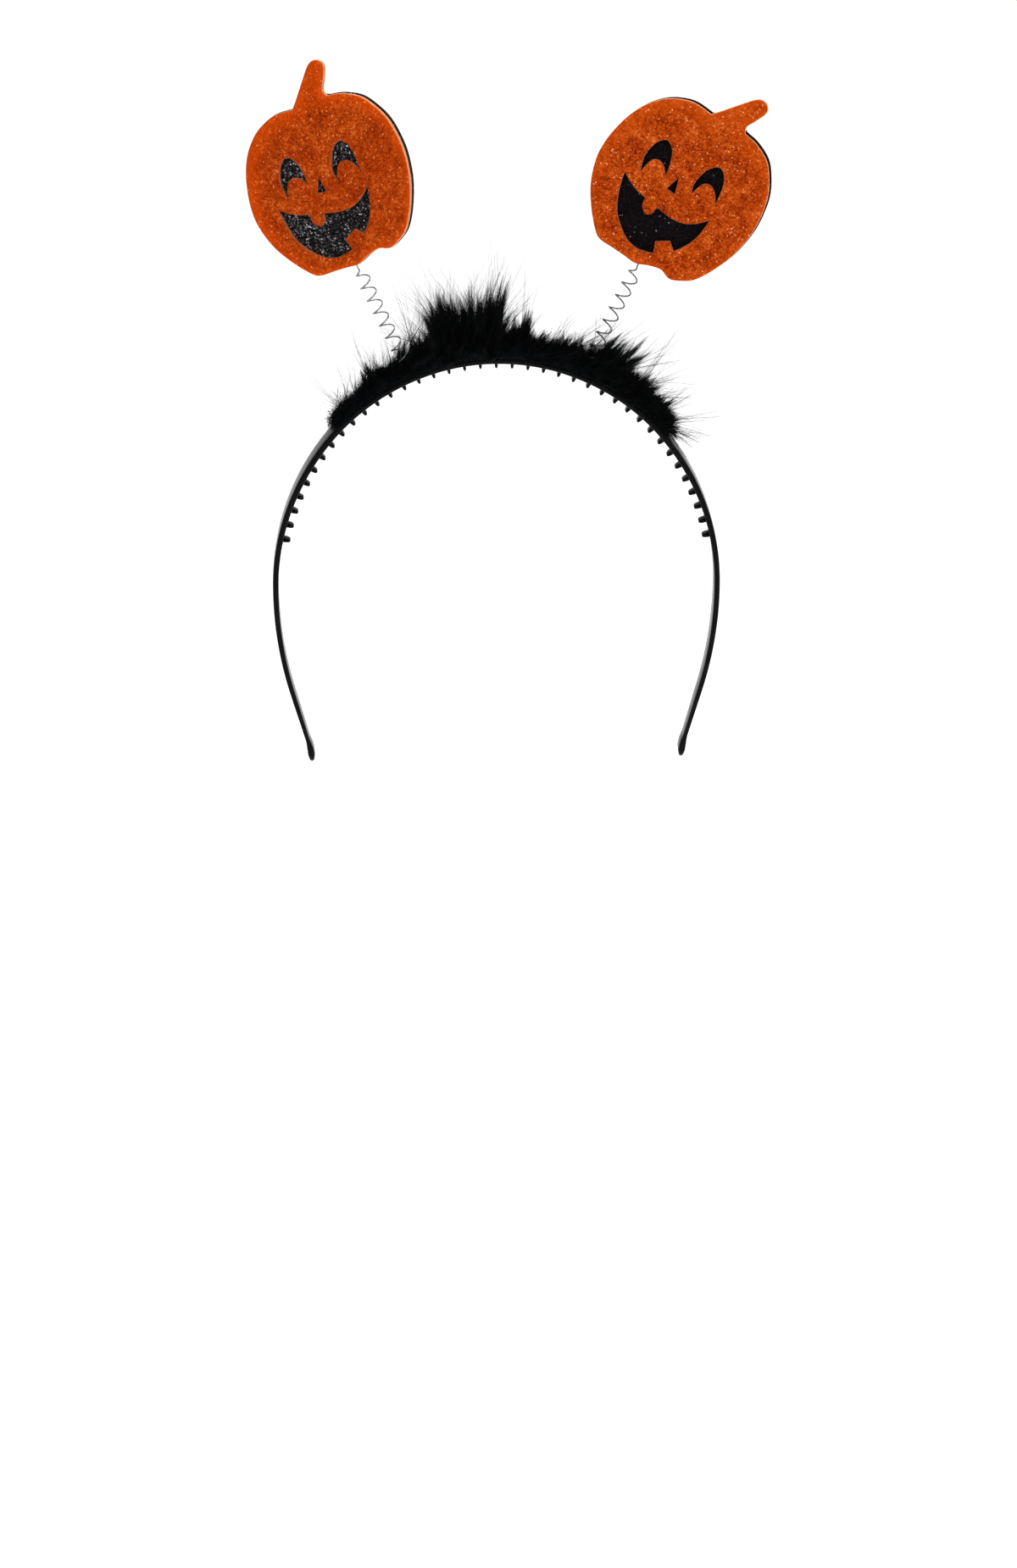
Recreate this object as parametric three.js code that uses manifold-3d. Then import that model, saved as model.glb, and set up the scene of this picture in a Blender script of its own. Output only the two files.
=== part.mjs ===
// Pumpkin bopper headband: a toothed plastic band with a feather trim over its crown, and two
// foam pumpkins that wobble on steel coil springs.
// Millimetres, +Z up, -Y is the front, +X is to the right as seen from the front.
// The origin is the middle of the band's inner face at the crown, where it sits on a head.

import * as THREE from "three";
import { mergeVertices } from "three/addons/utils/BufferGeometryUtils.js";
import Module from "manifold-3d";

const wasm = await Module();
wasm.setup();

// Room left between two pieces that touch or are glued
const clearance = 0.3;

// Band, its half length along its middle line from the crown to one tip
const bandHalfLength = 179.2;
const bandThickness = 2;
const bandWidth = 9.5;
const bandEdge = 0.5;

// Teeth on the band's inner face
const toothCount = 39;
const toothPitch = 5.25;
const toothLength = 2.4;
const toothThickness = 1.2;
const toothDepth = 4.6;
const toothRoot = 0.5;

// Feather trim along the crown
const trimReachLeft = 57;
const trimReachRight = 60;
const trimHeight = 24.5;
const trimSpread = 9;
const trimSkirt = 2.2;
const lockRadius = 3;

// Springs and their seats on the band
const wireRadius = 0.25;
const coilRadius = 2.1;
const coilTurns = 8;
const springStand = 38.9;
const springLeg = 11;
const seatRadius = 3.4;
const seatThickness = 1.2;
const seatPostHeight = 1.6;

// Die-cut foam pumpkins
const pumpkinWidth = 54.6;
const pumpkinHeight = 53;
const faceLayer = 2;
const backLayer = 2;

// The two boppers: seat is the spring's place along the band's half length, lean is how far the
// spring leans out beyond square to the band, entry is how far the spring enters beside the
// pumpkin's middle, turn is how far the pumpkin is turned about the spring, nod is how far it
// tips back, roll is how far it rolls towards upright, and face is how its face is cut askew in
// its outline. Angles are in degrees; seat is a share of the band's half length, entry and across
// are shares of the pumpkin's half width, and up is a share of its half height.
const boppers = [
  {
    side: "left", sign: -1, seat: 0.1557, lean: 0.5, entry: -0.103, turn: -13, nod: 18, roll: -3.6,
    face: { turn: 5, across: -0.051, up: -0.008 },
  },
  {
    side: "right", sign: 1, seat: 0.1579, lean: 1.3, entry: -0.015, turn: -14, nod: 6, roll: 0.6,
    face: { turn: -1.2, across: 0, up: 0 },
  },
];

// How the front and the backing lie on each other, in the same shares: the backing stands out at
// the top right
const frontPlace = { turn: 0, across: 0, up: 0 };
const backPlace = { turn: 0, across: 0.022, up: 0.026 };

// Stretches of the band's middle line from the crown to one tip: share of the half length, and
// how far the line turns on the way, in degrees.
const bandLine = [
  { stretch: "crown", share: 0.127, turn: 20 },
  { stretch: "shoulder", share: 0.215, turn: 31 },
  { stretch: "temple", share: 0.301, turn: 38 },
  { stretch: "leg", share: 0.216, turn: 16.4 },
  { stretch: "straight", share: 0.101, turn: 0 },
  { stretch: "flare", share: 0.04, turn: -14 },
];

// How the band's width and thickness change from the crown (0) to the tip (1)
const bandTaper = [
  { along: 0.0, width: 1.0, thickness: 1.0 },
  { along: 0.45, width: 0.98, thickness: 1.0 },
  { along: 0.7, width: 0.86, thickness: 0.95 },
  { along: 0.88, width: 0.72, thickness: 0.8 },
  { along: 0.955, width: 0.64, thickness: 0.7 },
  { along: 0.972, width: 0.64, thickness: 1.1 },
  { along: 0.985, width: 0.6, thickness: 1.2 },
  { along: 0.996, width: 0.4, thickness: 0.8 },
  { along: 1.0, width: 0.2, thickness: 0.4 },
];

// The trim from its left end (-1) to its right end (1): core and tuft are heights as shares of
// the trim's height, spread is a share of its half width, and lean is how far the tufts lean to
// the right of square to the band, in degrees.
const trimProfile = [
  { along: -1.0, core: 0.05, tuft: 0.1, spread: 0.45, lean: -20 },
  { along: -0.9, core: 0.11, tuft: 0.17, spread: 0.75, lean: -10 },
  { along: -0.78, core: 0.14, tuft: 0.19, spread: 0.9, lean: -20 },
  { along: -0.64, core: 0.16, tuft: 0.28, spread: 1.0, lean: 15 },
  { along: -0.52, core: 0.2, tuft: 0.34, spread: 1.0, lean: -5 },
  { along: -0.41, core: 0.27, tuft: 0.48, spread: 1.0, lean: 20 },
  { along: -0.3, core: 0.48, tuft: 0.88, spread: 1.0, lean: -8 },
  { along: -0.2, core: 0.58, tuft: 0.92, spread: 1.0, lean: -12 },
  { along: -0.1, core: 0.6, tuft: 0.9, spread: 1.0, lean: 0 },
  { along: -0.02, core: 0.6, tuft: 1.0, spread: 1.0, lean: 4 },
  { along: 0.05, core: 0.34, tuft: 0.5, spread: 1.0, lean: -10 },
  { along: 0.13, core: 0.34, tuft: 0.6, spread: 1.0, lean: 8 },
  { along: 0.22, core: 0.27, tuft: 0.36, spread: 1.0, lean: 30 },
  { along: 0.34, core: 0.25, tuft: 0.34, spread: 1.0, lean: 28 },
  { along: 0.45, core: 0.27, tuft: 0.4, spread: 1.0, lean: 10 },
  { along: 0.56, core: 0.34, tuft: 0.68, spread: 1.0, lean: 14 },
  { along: 0.66, core: 0.36, tuft: 0.68, spread: 1.0, lean: 12 },
  { along: 0.78, core: 0.3, tuft: 0.48, spread: 0.95, lean: 12 },
  { along: 0.9, core: 0.2, tuft: 0.4, spread: 0.8, lean: 22 },
  { along: 1.0, core: 0.08, tuft: 0.26, spread: 0.5, lean: 32 },
];

// Rows of locks across the trim, from the front to the back: splay is the angle away from the
// band's middle plane, reach is a share of the tuft's height.
const lockRows = [
  { splay: -62, reach: 0.42 },
  { splay: -34, reach: 0.62 },
  { splay: -6, reach: 1.0 },
  { splay: 26, reach: 0.72 },
  { splay: 58, reach: 0.45 },
];
const lockColumns = 22;

// Pumpkin outline as shares of its half width and half height, from its middle. Each list is
// one smooth stretch, and the lists meet in corners.
const pumpkinOutline = [
  [
    { across: -0.04, up: 0.98 },
    { across: 0.06, up: 1.08 },
    { across: 0.22, up: 1.25 },
    { across: 0.34, up: 1.37 },
    { across: 0.42, up: 1.4 },
    { across: 0.49, up: 1.37 },
    { across: 0.52, up: 1.29 },
    { across: 0.46, up: 1.16 },
    { across: 0.39, up: 1.04 },
    { across: 0.41, up: 0.96 },
  ],
  [
    { across: 0.41, up: 0.96 },
    { across: 0.58, up: 0.91 },
    { across: 0.77, up: 0.79 },
    { across: 0.89, up: 0.61 },
    { across: 0.97, up: 0.41 },
    { across: 1.0, up: 0.17 },
    { across: 0.99, up: -0.07 },
    { across: 0.92, up: -0.36 },
    { across: 0.79, up: -0.64 },
    { across: 0.65, up: -0.84 },
    { across: 0.51, up: -0.93 },
    { across: 0.38, up: -0.97 },
    { across: 0.25, up: -0.92 },
    { across: 0.11, up: -0.94 },
    { across: -0.05, up: -0.99 },
    { across: -0.2, up: -0.97 },
    { across: -0.36, up: -0.95 },
    { across: -0.53, up: -0.93 },
    { across: -0.63, up: -0.86 },
    { across: -0.79, up: -0.64 },
    { across: -0.92, up: -0.39 },
    { across: -0.99, up: -0.11 },
    { across: -0.99, up: 0.1 },
    { across: -0.95, up: 0.31 },
    { across: -0.87, up: 0.54 },
    { across: -0.75, up: 0.74 },
    { across: -0.58, up: 0.9 },
    { across: -0.41, up: 0.98 },
    { across: -0.25, up: 1.01 },
    { across: -0.04, up: 0.98 },
  ],
];

// Stem of the backing, shorter and slimmer than the one in front of it, which hides it
const backingStem = [
  { across: -0.04, up: 0.98 },
  { across: 0.05, up: 1.04 },
  { across: 0.18, up: 1.16 },
  { across: 0.27, up: 1.24 },
  { across: 0.33, up: 1.26 },
  { across: 0.38, up: 1.23 },
  { across: 0.39, up: 1.16 },
  { across: 0.35, up: 1.07 },
  { across: 0.35, up: 1.0 },
  { across: 0.41, up: 0.96 },
];

// Openings of the face, in the same shares and in the same way
const faceOpenings = {
  leftEye: [
    [
      { across: -0.47, up: 0.02 },
      { across: -0.5, up: 0.21 },
      { across: -0.45, up: 0.39 },
      { across: -0.35, up: 0.48 },
      { across: -0.25, up: 0.41 },
      { across: -0.2, up: 0.25 },
      { across: -0.19, up: 0.1 },
    ],
    [
      { across: -0.19, up: 0.1 },
      { across: -0.25, up: 0.19 },
      { across: -0.34, up: 0.23 },
      { across: -0.42, up: 0.18 },
      { across: -0.47, up: 0.02 },
    ],
  ],
  rightEye: [
    [
      { across: 0.17, up: 0.05 },
      { across: 0.15, up: 0.17 },
      { across: 0.21, up: 0.36 },
      { across: 0.32, up: 0.46 },
      { across: 0.41, up: 0.41 },
      { across: 0.46, up: 0.27 },
      { across: 0.47, up: 0.06 },
    ],
    [
      { across: 0.47, up: 0.06 },
      { across: 0.4, up: 0.18 },
      { across: 0.31, up: 0.23 },
      { across: 0.23, up: 0.19 },
      { across: 0.17, up: 0.05 },
    ],
  ],
  nose: [
    [
      { across: -0.04, up: 0.15 },
      { across: -0.11, up: -0.03 },
    ],
    [
      { across: -0.11, up: -0.03 },
      { across: 0.0, up: -0.05 },
    ],
    [
      { across: 0.0, up: -0.05 },
      { across: -0.04, up: 0.15 },
    ],
  ],
  mouth: [
    [
      { across: -0.63, up: -0.07 },
      { across: -0.52, up: -0.15 },
      { across: -0.4, up: -0.21 },
      { across: -0.29, up: -0.24 },
    ],
    [
      { across: -0.29, up: -0.24 },
      { across: -0.28, up: -0.34 },
      { across: -0.21, up: -0.41 },
      { across: -0.14, up: -0.37 },
      { across: -0.12, up: -0.28 },
    ],
    [
      { across: -0.12, up: -0.28 },
      { across: 0.05, up: -0.32 },
      { across: 0.22, up: -0.32 },
      { across: 0.37, up: -0.25 },
      { across: 0.49, up: -0.15 },
    ],
    [
      { across: 0.49, up: -0.15 },
      { across: 0.45, up: -0.36 },
      { across: 0.38, up: -0.52 },
      { across: 0.27, up: -0.66 },
    ],
    [
      { across: 0.27, up: -0.66 },
      { across: 0.18, up: -0.57 },
    ],
    [
      { across: 0.18, up: -0.57 },
      { across: 0.03, up: -0.65 },
    ],
    [
      { across: 0.03, up: -0.65 },
      { across: 0.07, up: -0.79 },
    ],
    [
      { across: 0.07, up: -0.79 },
      { across: -0.12, up: -0.82 },
      { across: -0.28, up: -0.77 },
      { across: -0.42, up: -0.65 },
      { across: -0.53, up: -0.5 },
      { across: -0.6, up: -0.28 },
      { across: -0.63, up: -0.07 },
    ],
  ],
};

// Sampling of curved stretches
const bandStations = 60;
const outlineSteps = 2;
const trimStations = 24;
const trimSides = 10;
const lockSides = 4;
const wireSides = 5;
const stepsPerTurn = 11;
const roundSides = 14;

// Finishes
const blackPlastic = { color: 0x0c0c0e, roughness: 0.28, metalness: 0 };
const blackFeather = { color: 0x08080a, roughness: 0.95, metalness: 0 };
const springSteel = { color: 0x9a9c9e, roughness: 0.35, metalness: 1 };
const orangeGlitter = { color: 0xc8480c, roughness: 0.55, metalness: 0 };
const blackGlitter = { color: 0x15161a, roughness: 0.5, metalness: 0 };
const clearGlue = { color: 0x2a2a2c, roughness: 0.4, metalness: 0 };

// Value of one column of a table at a place along it, in straight steps between its rows
function tableValue(table, column, along) {
  const last = table.length - 1;
  let row = 0;
  while (row < last - 1 && table[row + 1].along < along) row += 1;
  const from = table[row];
  const to = table[row + 1];
  const share = THREE.MathUtils.clamp((along - from.along) / (to.along - from.along), 0, 1);
  return THREE.MathUtils.lerp(from[column], to[column], share);
}

// Height of a spring seat's top over the band's outer face
const seatTop = clearance + seatThickness;

// A repeatable spread of values from -1 to 1, one for each pair of counts
function scatter(first, second) {
  const wave = Math.sin(first * 12.9898 + second * 78.233) * 43758.5453;
  return 2 * (wave - Math.floor(wave)) - 1;
}

// Place on the band's middle line: heading is the angle of its outward side from straight up
function bandPlace(arcLength) {
  const sign = arcLength < 0 ? -1 : 1;
  let left = Math.abs(arcLength);
  let x = 0;
  let z = bandThickness / 2;
  let heading = 0;
  for (const { share, turn } of bandLine) {
    const length = Math.min(left, share * bandHalfLength);
    const swing = THREE.MathUtils.degToRad(turn) * length / (share * bandHalfLength);
    const chord = swing === 0 ? length : 2 * length / swing * Math.sin(swing / 2);
    x += chord * Math.cos(heading + swing / 2);
    z -= chord * Math.sin(heading + swing / 2);
    heading += swing;
    left -= length;
  }
  return { x: sign * x, z, heading: sign * heading };
}

// A point beside the band: across is along Y, out is away from the middle line
function besideBand(arcLength, across, out) {
  const place = bandPlace(arcLength);
  const x = place.x + out * Math.sin(place.heading);
  const z = place.z + out * Math.cos(place.heading);
  return new THREE.Vector3(x, across, z);
}

// Closed geometry through rings of points, each ring with as many points, ends filled
function loft(rings) {
  const count = rings[0].length;
  const points = rings.flat();
  const faces = [];
  for (let ring = 0; ring < rings.length - 1; ring += 1) {
    for (let i = 0; i < count; i += 1) {
      const a = ring * count + i;
      const b = ring * count + ((i + 1) % count);
      faces.push(a, b, a + count, b, b + count, a + count);
    }
  }
  const lastRing = (rings.length - 1) * count;
  for (let i = 1; i < count - 1; i += 1) {
    faces.push(0, i + 1, i);
    faces.push(lastRing, lastRing + i, lastRing + i + 1);
  }
  const geometry = new THREE.BufferGeometry().setFromPoints(points);
  geometry.setIndex(faces);
  return facingOut(geometry);
}

// Turns the faces over where they face in
function facingOut(geometry) {
  const at = geometry.getAttribute("position");
  const index = geometry.getIndex();
  const corner = [new THREE.Vector3(), new THREE.Vector3(), new THREE.Vector3()];
  let volume = 0;
  for (let i = 0; i < index.count; i += 3) {
    corner.forEach((point, k) => point.fromBufferAttribute(at, index.getX(i + k)));
    volume += corner[0].dot(corner[1].clone().cross(corner[2]));
  }
  if (volume < 0) {
    for (let i = 0; i < index.count; i += 3) {
      const second = index.getX(i + 1);
      index.setX(i + 1, index.getX(i + 2));
      index.setX(i + 2, second);
    }
  }
  return geometry;
}

// A closed geometry as a solid that can be joined and cut
function toSolid(geometry) {
  const bare = geometry.clone();
  bare.deleteAttribute("normal");
  bare.deleteAttribute("uv");
  const merged = mergeVertices(bare, 1e-5);
  const vertProperties = new Float32Array(merged.getAttribute("position").array);
  const triVerts = new Uint32Array(merged.getIndex().array);
  return new wasm.Manifold(new wasm.Mesh({ numProp: 3, vertProperties, triVerts }));
}

function toGeometry(solid) {
  const mesh = solid.getMesh();
  const geometry = new THREE.BufferGeometry();
  geometry.setAttribute("position", new THREE.BufferAttribute(mesh.vertProperties, 3));
  geometry.setIndex(new THREE.BufferAttribute(mesh.triVerts, 1));
  geometry.computeVertexNormals();
  return geometry;
}

function piece(name, geometry, finish) {
  const mesh = new THREE.Mesh(geometry, new THREE.MeshStandardMaterial(finish));
  mesh.name = name;
  return mesh;
}

// A turned piece about the local Z axis, from a profile of radius and height
function turned(profile) {
  const points = profile.map(([radius, height]) => new THREE.Vector2(radius, height));
  return new THREE.LatheGeometry(points, roundSides).rotateX(Math.PI / 2);
}

// Band section: flat inside, with eased edges and a slightly crowned outer face
function bandRing(arcLength) {
  const along = Math.abs(arcLength) / bandHalfLength;
  const half = (bandWidth / 2) * tableValue(bandTaper, "width", along);
  const thick = (bandThickness / 2) * tableValue(bandTaper, "thickness", along);
  const edge = Math.min(bandEdge, thick / 2, half / 2);
  const section = [
    [-half, thick - 2 * edge],
    [-half, edge - thick],
    [edge - half, -thick],
    [half - edge, -thick],
    [half, edge - thick],
    [half, thick - 2 * edge],
    [half - edge, thick - edge / 2],
    [half / 2, thick],
    [-half / 2, thick],
    [edge - half, thick - edge / 2],
  ];
  return section.map(([across, out]) => besideBand(arcLength, across, out));
}

// One tooth: a thin blade across the band's inner face, narrower at its end
function tooth(arcLength) {
  const root = -bandThickness / 2 + toothRoot;
  const end = -bandThickness / 2 - toothLength;
  const rings = [
    { out: root, depth: toothDepth, thickness: toothThickness },
    { out: end + toothThickness / 2, depth: toothDepth * 0.85, thickness: toothThickness * 0.85 },
    { out: end, depth: toothDepth * 0.6, thickness: toothThickness * 0.5 },
  ].map(({ out, depth, thickness }) => {
    const place = bandPlace(arcLength);
    const middle = besideBand(arcLength, 0, out);
    const alongX = (thickness / 2) * Math.cos(place.heading);
    const alongZ = (-thickness / 2) * Math.sin(place.heading);
    return [
      new THREE.Vector3(middle.x - alongX, -depth / 2, middle.z - alongZ),
      new THREE.Vector3(middle.x + alongX, -depth / 2, middle.z + alongZ),
      new THREE.Vector3(middle.x + alongX, depth / 2, middle.z + alongZ),
      new THREE.Vector3(middle.x - alongX, depth / 2, middle.z - alongZ),
    ];
  });
  return loft(rings);
}

function headband() {
  const places = [];
  for (let i = 0; i <= bandStations; i += 1) {
    places.push((2 * i / bandStations - 1) * bandHalfLength);
  }
  for (const row of bandTaper.slice(4, -1)) {
    places.push(row.along * bandHalfLength, -row.along * bandHalfLength);
  }
  places.sort((a, b) => a - b);
  let band = toSolid(loft(places.map(bandRing)));
  for (let i = 0; i < toothCount; i += 1) {
    const arcLength = (i - (toothCount - 1) / 2) * toothPitch;
    band = band.add(toSolid(tooth(arcLength)));
  }
  return piece("headband", toGeometry(band), blackPlastic);
}

function trimArc(along) {
  return along < 0 ? along * trimReachLeft : along * trimReachRight;
}

// Section of the trim's solid core, seated over the band like a saddle
function trimRing(along) {
  const arcLength = trimArc(along);
  const rise = trimHeight * tableValue(trimProfile, "core", along);
  const spread = trimSpread * tableValue(trimProfile, "spread", along);
  const ring = [];
  for (let i = 0; i < trimSides; i += 1) {
    const angle = (2 * Math.PI * i) / trimSides;
    const lift = Math.sin(angle) * (Math.sin(angle) > 0 ? rise : trimSkirt);
    const out = bandThickness + lift;
    ring.push(besideBand(arcLength, spread * Math.cos(angle), out));
  }
  return ring;
}

// One tapering lock from inside the core to its tip, bending a little on the way
function lock(along, row, column) {
  const arcLength = trimArc(along) + trimReachLeft / lockColumns * 0.5 * scatter(column, row.splay);
  const core = trimHeight * tableValue(trimProfile, "core", along);
  const tuft = trimHeight * tableValue(trimProfile, "tuft", along);
  const spread = trimSpread * tableValue(trimProfile, "spread", along);
  const splay = THREE.MathUtils.degToRad(row.splay + 8 * scatter(row.splay, column));
  const lean = THREE.MathUtils.degToRad(
    tableValue(trimProfile, "lean", along) + 9 * scatter(column + 3, row.splay));
  const foot = besideBand(arcLength, Math.sin(splay) * spread * 0.45, bandThickness + core * 0.3);
  const heading = bandPlace(arcLength).heading + lean;
  const way = new THREE.Vector3(
    Math.sin(heading) * Math.cos(splay), Math.sin(splay), Math.cos(heading) * Math.cos(splay));
  const length = (tuft * row.reach * (1 + 0.14 * scatter(column, column)) - core * 0.3)
    + (1 - Math.cos(splay)) * spread;
  const side = new THREE.Vector3(0, 1, 0).cross(way).normalize();
  const other = way.clone().cross(side);
  const bend = side.clone().multiplyScalar(0.12 * length * scatter(column + 7, row.splay));
  const shape = [
    { share: 0, radius: 1 },
    { share: 0.6, radius: 0.7 },
    { share: 1, radius: 0.08 },
  ];
  const rings = shape.map(({ share, radius }) => {
    const middle = foot.clone().addScaledVector(way, length * share);
    middle.addScaledVector(bend, share * share);
    const ring = [];
    for (let i = 0; i < lockSides; i += 1) {
      const angle = (2 * Math.PI * i) / lockSides;
      const point = middle.clone();
      point.addScaledVector(side, lockRadius * radius * Math.cos(angle));
      point.addScaledVector(other, lockRadius * radius * Math.sin(angle));
      ring.push(point);
    }
    return ring;
  });
  return loft(rings);
}

// The room that the band takes under the trim, open towards the head
function bandRoom() {
  const rings = [];
  const half = bandWidth / 2 + clearance;
  const top = bandThickness / 2 + clearance;
  const bottom = -bandThickness / 2 - toothLength - trimSkirt;
  const reach = Math.max(trimReachLeft, trimReachRight) * 1.3;
  for (let i = 0; i <= trimStations; i += 1) {
    const arcLength = (2 * i / trimStations - 1) * reach;
    rings.push([
      besideBand(arcLength, -half, bottom),
      besideBand(arcLength, half, bottom),
      besideBand(arcLength, half, top),
      besideBand(arcLength, -half, top),
    ]);
  }
  return toSolid(loft(rings));
}

// The room that one spring and its seat take in the trim
function springRoom(bopper) {
  const seatRoom = seatRadius + clearance;
  const coilRoom = coilRadius + wireRadius + clearance;
  const { stalk, spring } = bopperFrames(bopper);
  const seatHole = turned([
    [0, -bandThickness],
    [seatRoom, -bandThickness],
    [seatRoom, seatTop + clearance],
    [0, seatTop + clearance],
  ]);
  const coilHole = turned([
    [0, -seatThickness],
    [coilRoom, -seatThickness],
    [coilRoom, springStand],
    [0, springStand],
  ]);
  stalk.updateMatrixWorld();
  const room = toSolid(seatHole.applyMatrix4(stalk.matrixWorld));
  return room.add(toSolid(coilHole.applyMatrix4(spring.matrixWorld)));
}

function featherTrim() {
  const rings = [];
  for (let i = 0; i <= trimStations; i += 1) {
    rings.push(trimRing(2 * i / trimStations - 1));
  }
  let trim = toSolid(loft(rings));
  for (let column = 0; column < lockColumns; column += 1) {
    const along = 2 * (column + 0.5) / lockColumns - 1;
    for (const row of lockRows) trim = trim.add(toSolid(lock(along, row, column)));
  }
  trim = trim.subtract(bandRoom());
  for (const bopper of boppers) trim = trim.subtract(springRoom(bopper));
  return piece("feather_trim", toGeometry(trim), blackFeather);
}

// Nested frames of one bopper: the stalk stands square on the band's outer face, the spring
// leans from the seat's top, and the pumpkin sits where the spring enters it
function bopperFrames(bopper) {
  const stalk = new THREE.Group();
  const arcLength = bopper.sign * bopper.seat * bandHalfLength;
  stalk.position.copy(besideBand(arcLength, 0, bandThickness / 2));
  stalk.rotation.y = bandPlace(arcLength).heading;
  const spring = new THREE.Group();
  spring.position.z = seatTop;
  spring.rotation.y = THREE.MathUtils.degToRad(bopper.sign * bopper.lean);
  const pumpkin = new THREE.Group();
  pumpkin.position.z = springStand - seatTop;
  pumpkin.rotation.order = "ZXY";
  pumpkin.rotation.z = THREE.MathUtils.degToRad(bopper.turn);
  pumpkin.rotation.x = THREE.MathUtils.degToRad(-bopper.nod);
  spring.add(pumpkin);
  stalk.add(spring);
  return { stalk, spring, pumpkin };
}

// A flat seat with a short post that holds the coil's lowest turn
function springSeat(side) {
  const post = coilRadius - wireRadius - clearance;
  const profile = [
    [0, clearance],
    [seatRadius, clearance],
    [seatRadius, seatTop],
    [post, seatTop],
    [post, seatTop + seatPostHeight],
    [0, seatTop + seatPostHeight],
  ];
  return piece(side + "_spring_seat", turned(profile), clearGlue);
}

// Wire path: a right-handed coil that closes in to its axis under the pumpkin, then a straight
// leg up into the pumpkin
class SpringPath extends THREE.Curve {
  constructor(pumpkin) {
    super();
    this.legWay = new THREE.Vector3(0, 0, 1).applyEuler(pumpkin.rotation);
  }

  getPoint(share, target = new THREE.Vector3()) {
    const bottom = clearance + 2 * wireRadius;
    const top = springStand - seatTop - clearance - wireRadius;
    const coilLength = coilTurns * Math.hypot(2 * Math.PI * coilRadius, (top - bottom) / coilTurns);
    const along = share * (coilLength + springLeg);
    if (along > coilLength) {
      return target.set(0, 0, top).addScaledVector(this.legWay, along - coilLength);
    }
    const turn = (along / coilLength) * coilTurns;
    const closing = THREE.MathUtils.smoothstep(turn, coilTurns - 0.75, coilTurns);
    const radius = coilRadius * (1 - closing);
    const angle = 2 * Math.PI * turn;
    const height = bottom + (top - bottom) * (turn / coilTurns);
    return target.set(radius * Math.cos(angle), radius * Math.sin(angle), height);
  }
}

function springWire(side, pumpkin) {
  const section = new THREE.Shape();
  for (let i = 0; i < wireSides; i += 1) {
    const angle = (2 * Math.PI * i) / wireSides;
    const point = [wireRadius * Math.cos(angle), wireRadius * Math.sin(angle)];
    if (i === 0) section.moveTo(...point);
    else section.lineTo(...point);
  }
  section.closePath();
  const path = new SpringPath(pumpkin);
  path.arcLengthDivisions = 1200;
  const steps = Math.round(coilTurns * stepsPerTurn + springLeg / 2);
  const options = { steps, extrudePath: path, bevelEnabled: false };
  const geometry = new THREE.ExtrudeGeometry(section, options);
  return piece(side + "_spring", geometry, springSteel);
}

// A closed shape through stretches of shares of the pumpkin's half width and half height
function shapeOf(stretches) {
  const points = stretches.flatMap((stretch) => {
    const curve = new THREE.SplineCurve(stretch.map(({ across, up }) =>
      new THREE.Vector2(across * pumpkinWidth / 2, up * pumpkinHeight / 2)));
    const steps = stretch.length === 2 ? 1 : outlineSteps * (stretch.length - 1);
    return curve.getPoints(steps).slice(0, -1);
  });
  return new THREE.Shape(points);
}

// One upright slab of a shape at its place in the pumpkin, from front towards the back, with the
// place where the spring enters the pumpkin at its origin
function slab(stretches, place, bopper, front, thickness) {
  const options = { depth: thickness, bevelEnabled: false };
  const geometry = new THREE.ExtrudeGeometry(shapeOf(stretches), options);
  geometry.rotateX(Math.PI / 2).rotateY(THREE.MathUtils.degToRad(place.turn));
  const across = (place.across - bopper.entry) * pumpkinWidth / 2;
  const up = (place.up + 1) * pumpkinHeight / 2;
  geometry.translate(across, front + thickness, up);
  geometry.rotateY(THREE.MathUtils.degToRad(-bopper.sign * bopper.roll));
  return toSolid(geometry);
}

// The glitter layer in front, with the face cut through it
function pumpkinFront(bopper) {
  const front = -wireRadius - clearance - faceLayer;
  const depth = faceLayer + 2 * clearance;
  let layer = slab(pumpkinOutline, frontPlace, bopper, front, faceLayer);
  for (const opening of Object.values(faceOpenings)) {
    layer = layer.subtract(slab(opening, bopper.face, bopper, front - clearance, depth));
  }
  return piece(bopper.side + "_pumpkin_front", toGeometry(layer), orangeGlitter);
}

// The black backing, with a slot for the spring's straight leg
function pumpkinBack(bopper) {
  const slotWidth = 2 * (wireRadius + clearance);
  const slotLength = 2 * (springLeg + clearance);
  const slot = new THREE.BoxGeometry(slotWidth, slotWidth, slotLength);
  const outline = [backingStem, ...pumpkinOutline.slice(1)];
  const layer = slab(outline, backPlace, bopper, -wireRadius, backLayer);
  const back = layer.subtract(toSolid(slot));
  return piece(bopper.side + "_pumpkin_back", toGeometry(back), blackGlitter);
}

const pumpkinBopperHeadband = new THREE.Group();
pumpkinBopperHeadband.add(headband(), featherTrim());
for (const bopper of boppers) {
  const { stalk, spring, pumpkin } = bopperFrames(bopper);
  stalk.add(springSeat(bopper.side));
  spring.add(springWire(bopper.side, pumpkin));
  pumpkin.add(pumpkinFront(bopper), pumpkinBack(bopper));
  pumpkinBopperHeadband.add(stalk);
}

export default pumpkinBopperHeadband;
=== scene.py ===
# Looks of the pumpkin bopper headband: a moulded black band with teeth, black marabou over its
# crown, and two die-cut glitter foam pumpkins on fine steel springs.
# Metres, +Z up, -Y is the front, +X is to the right as seen from the front.

import math

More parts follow.
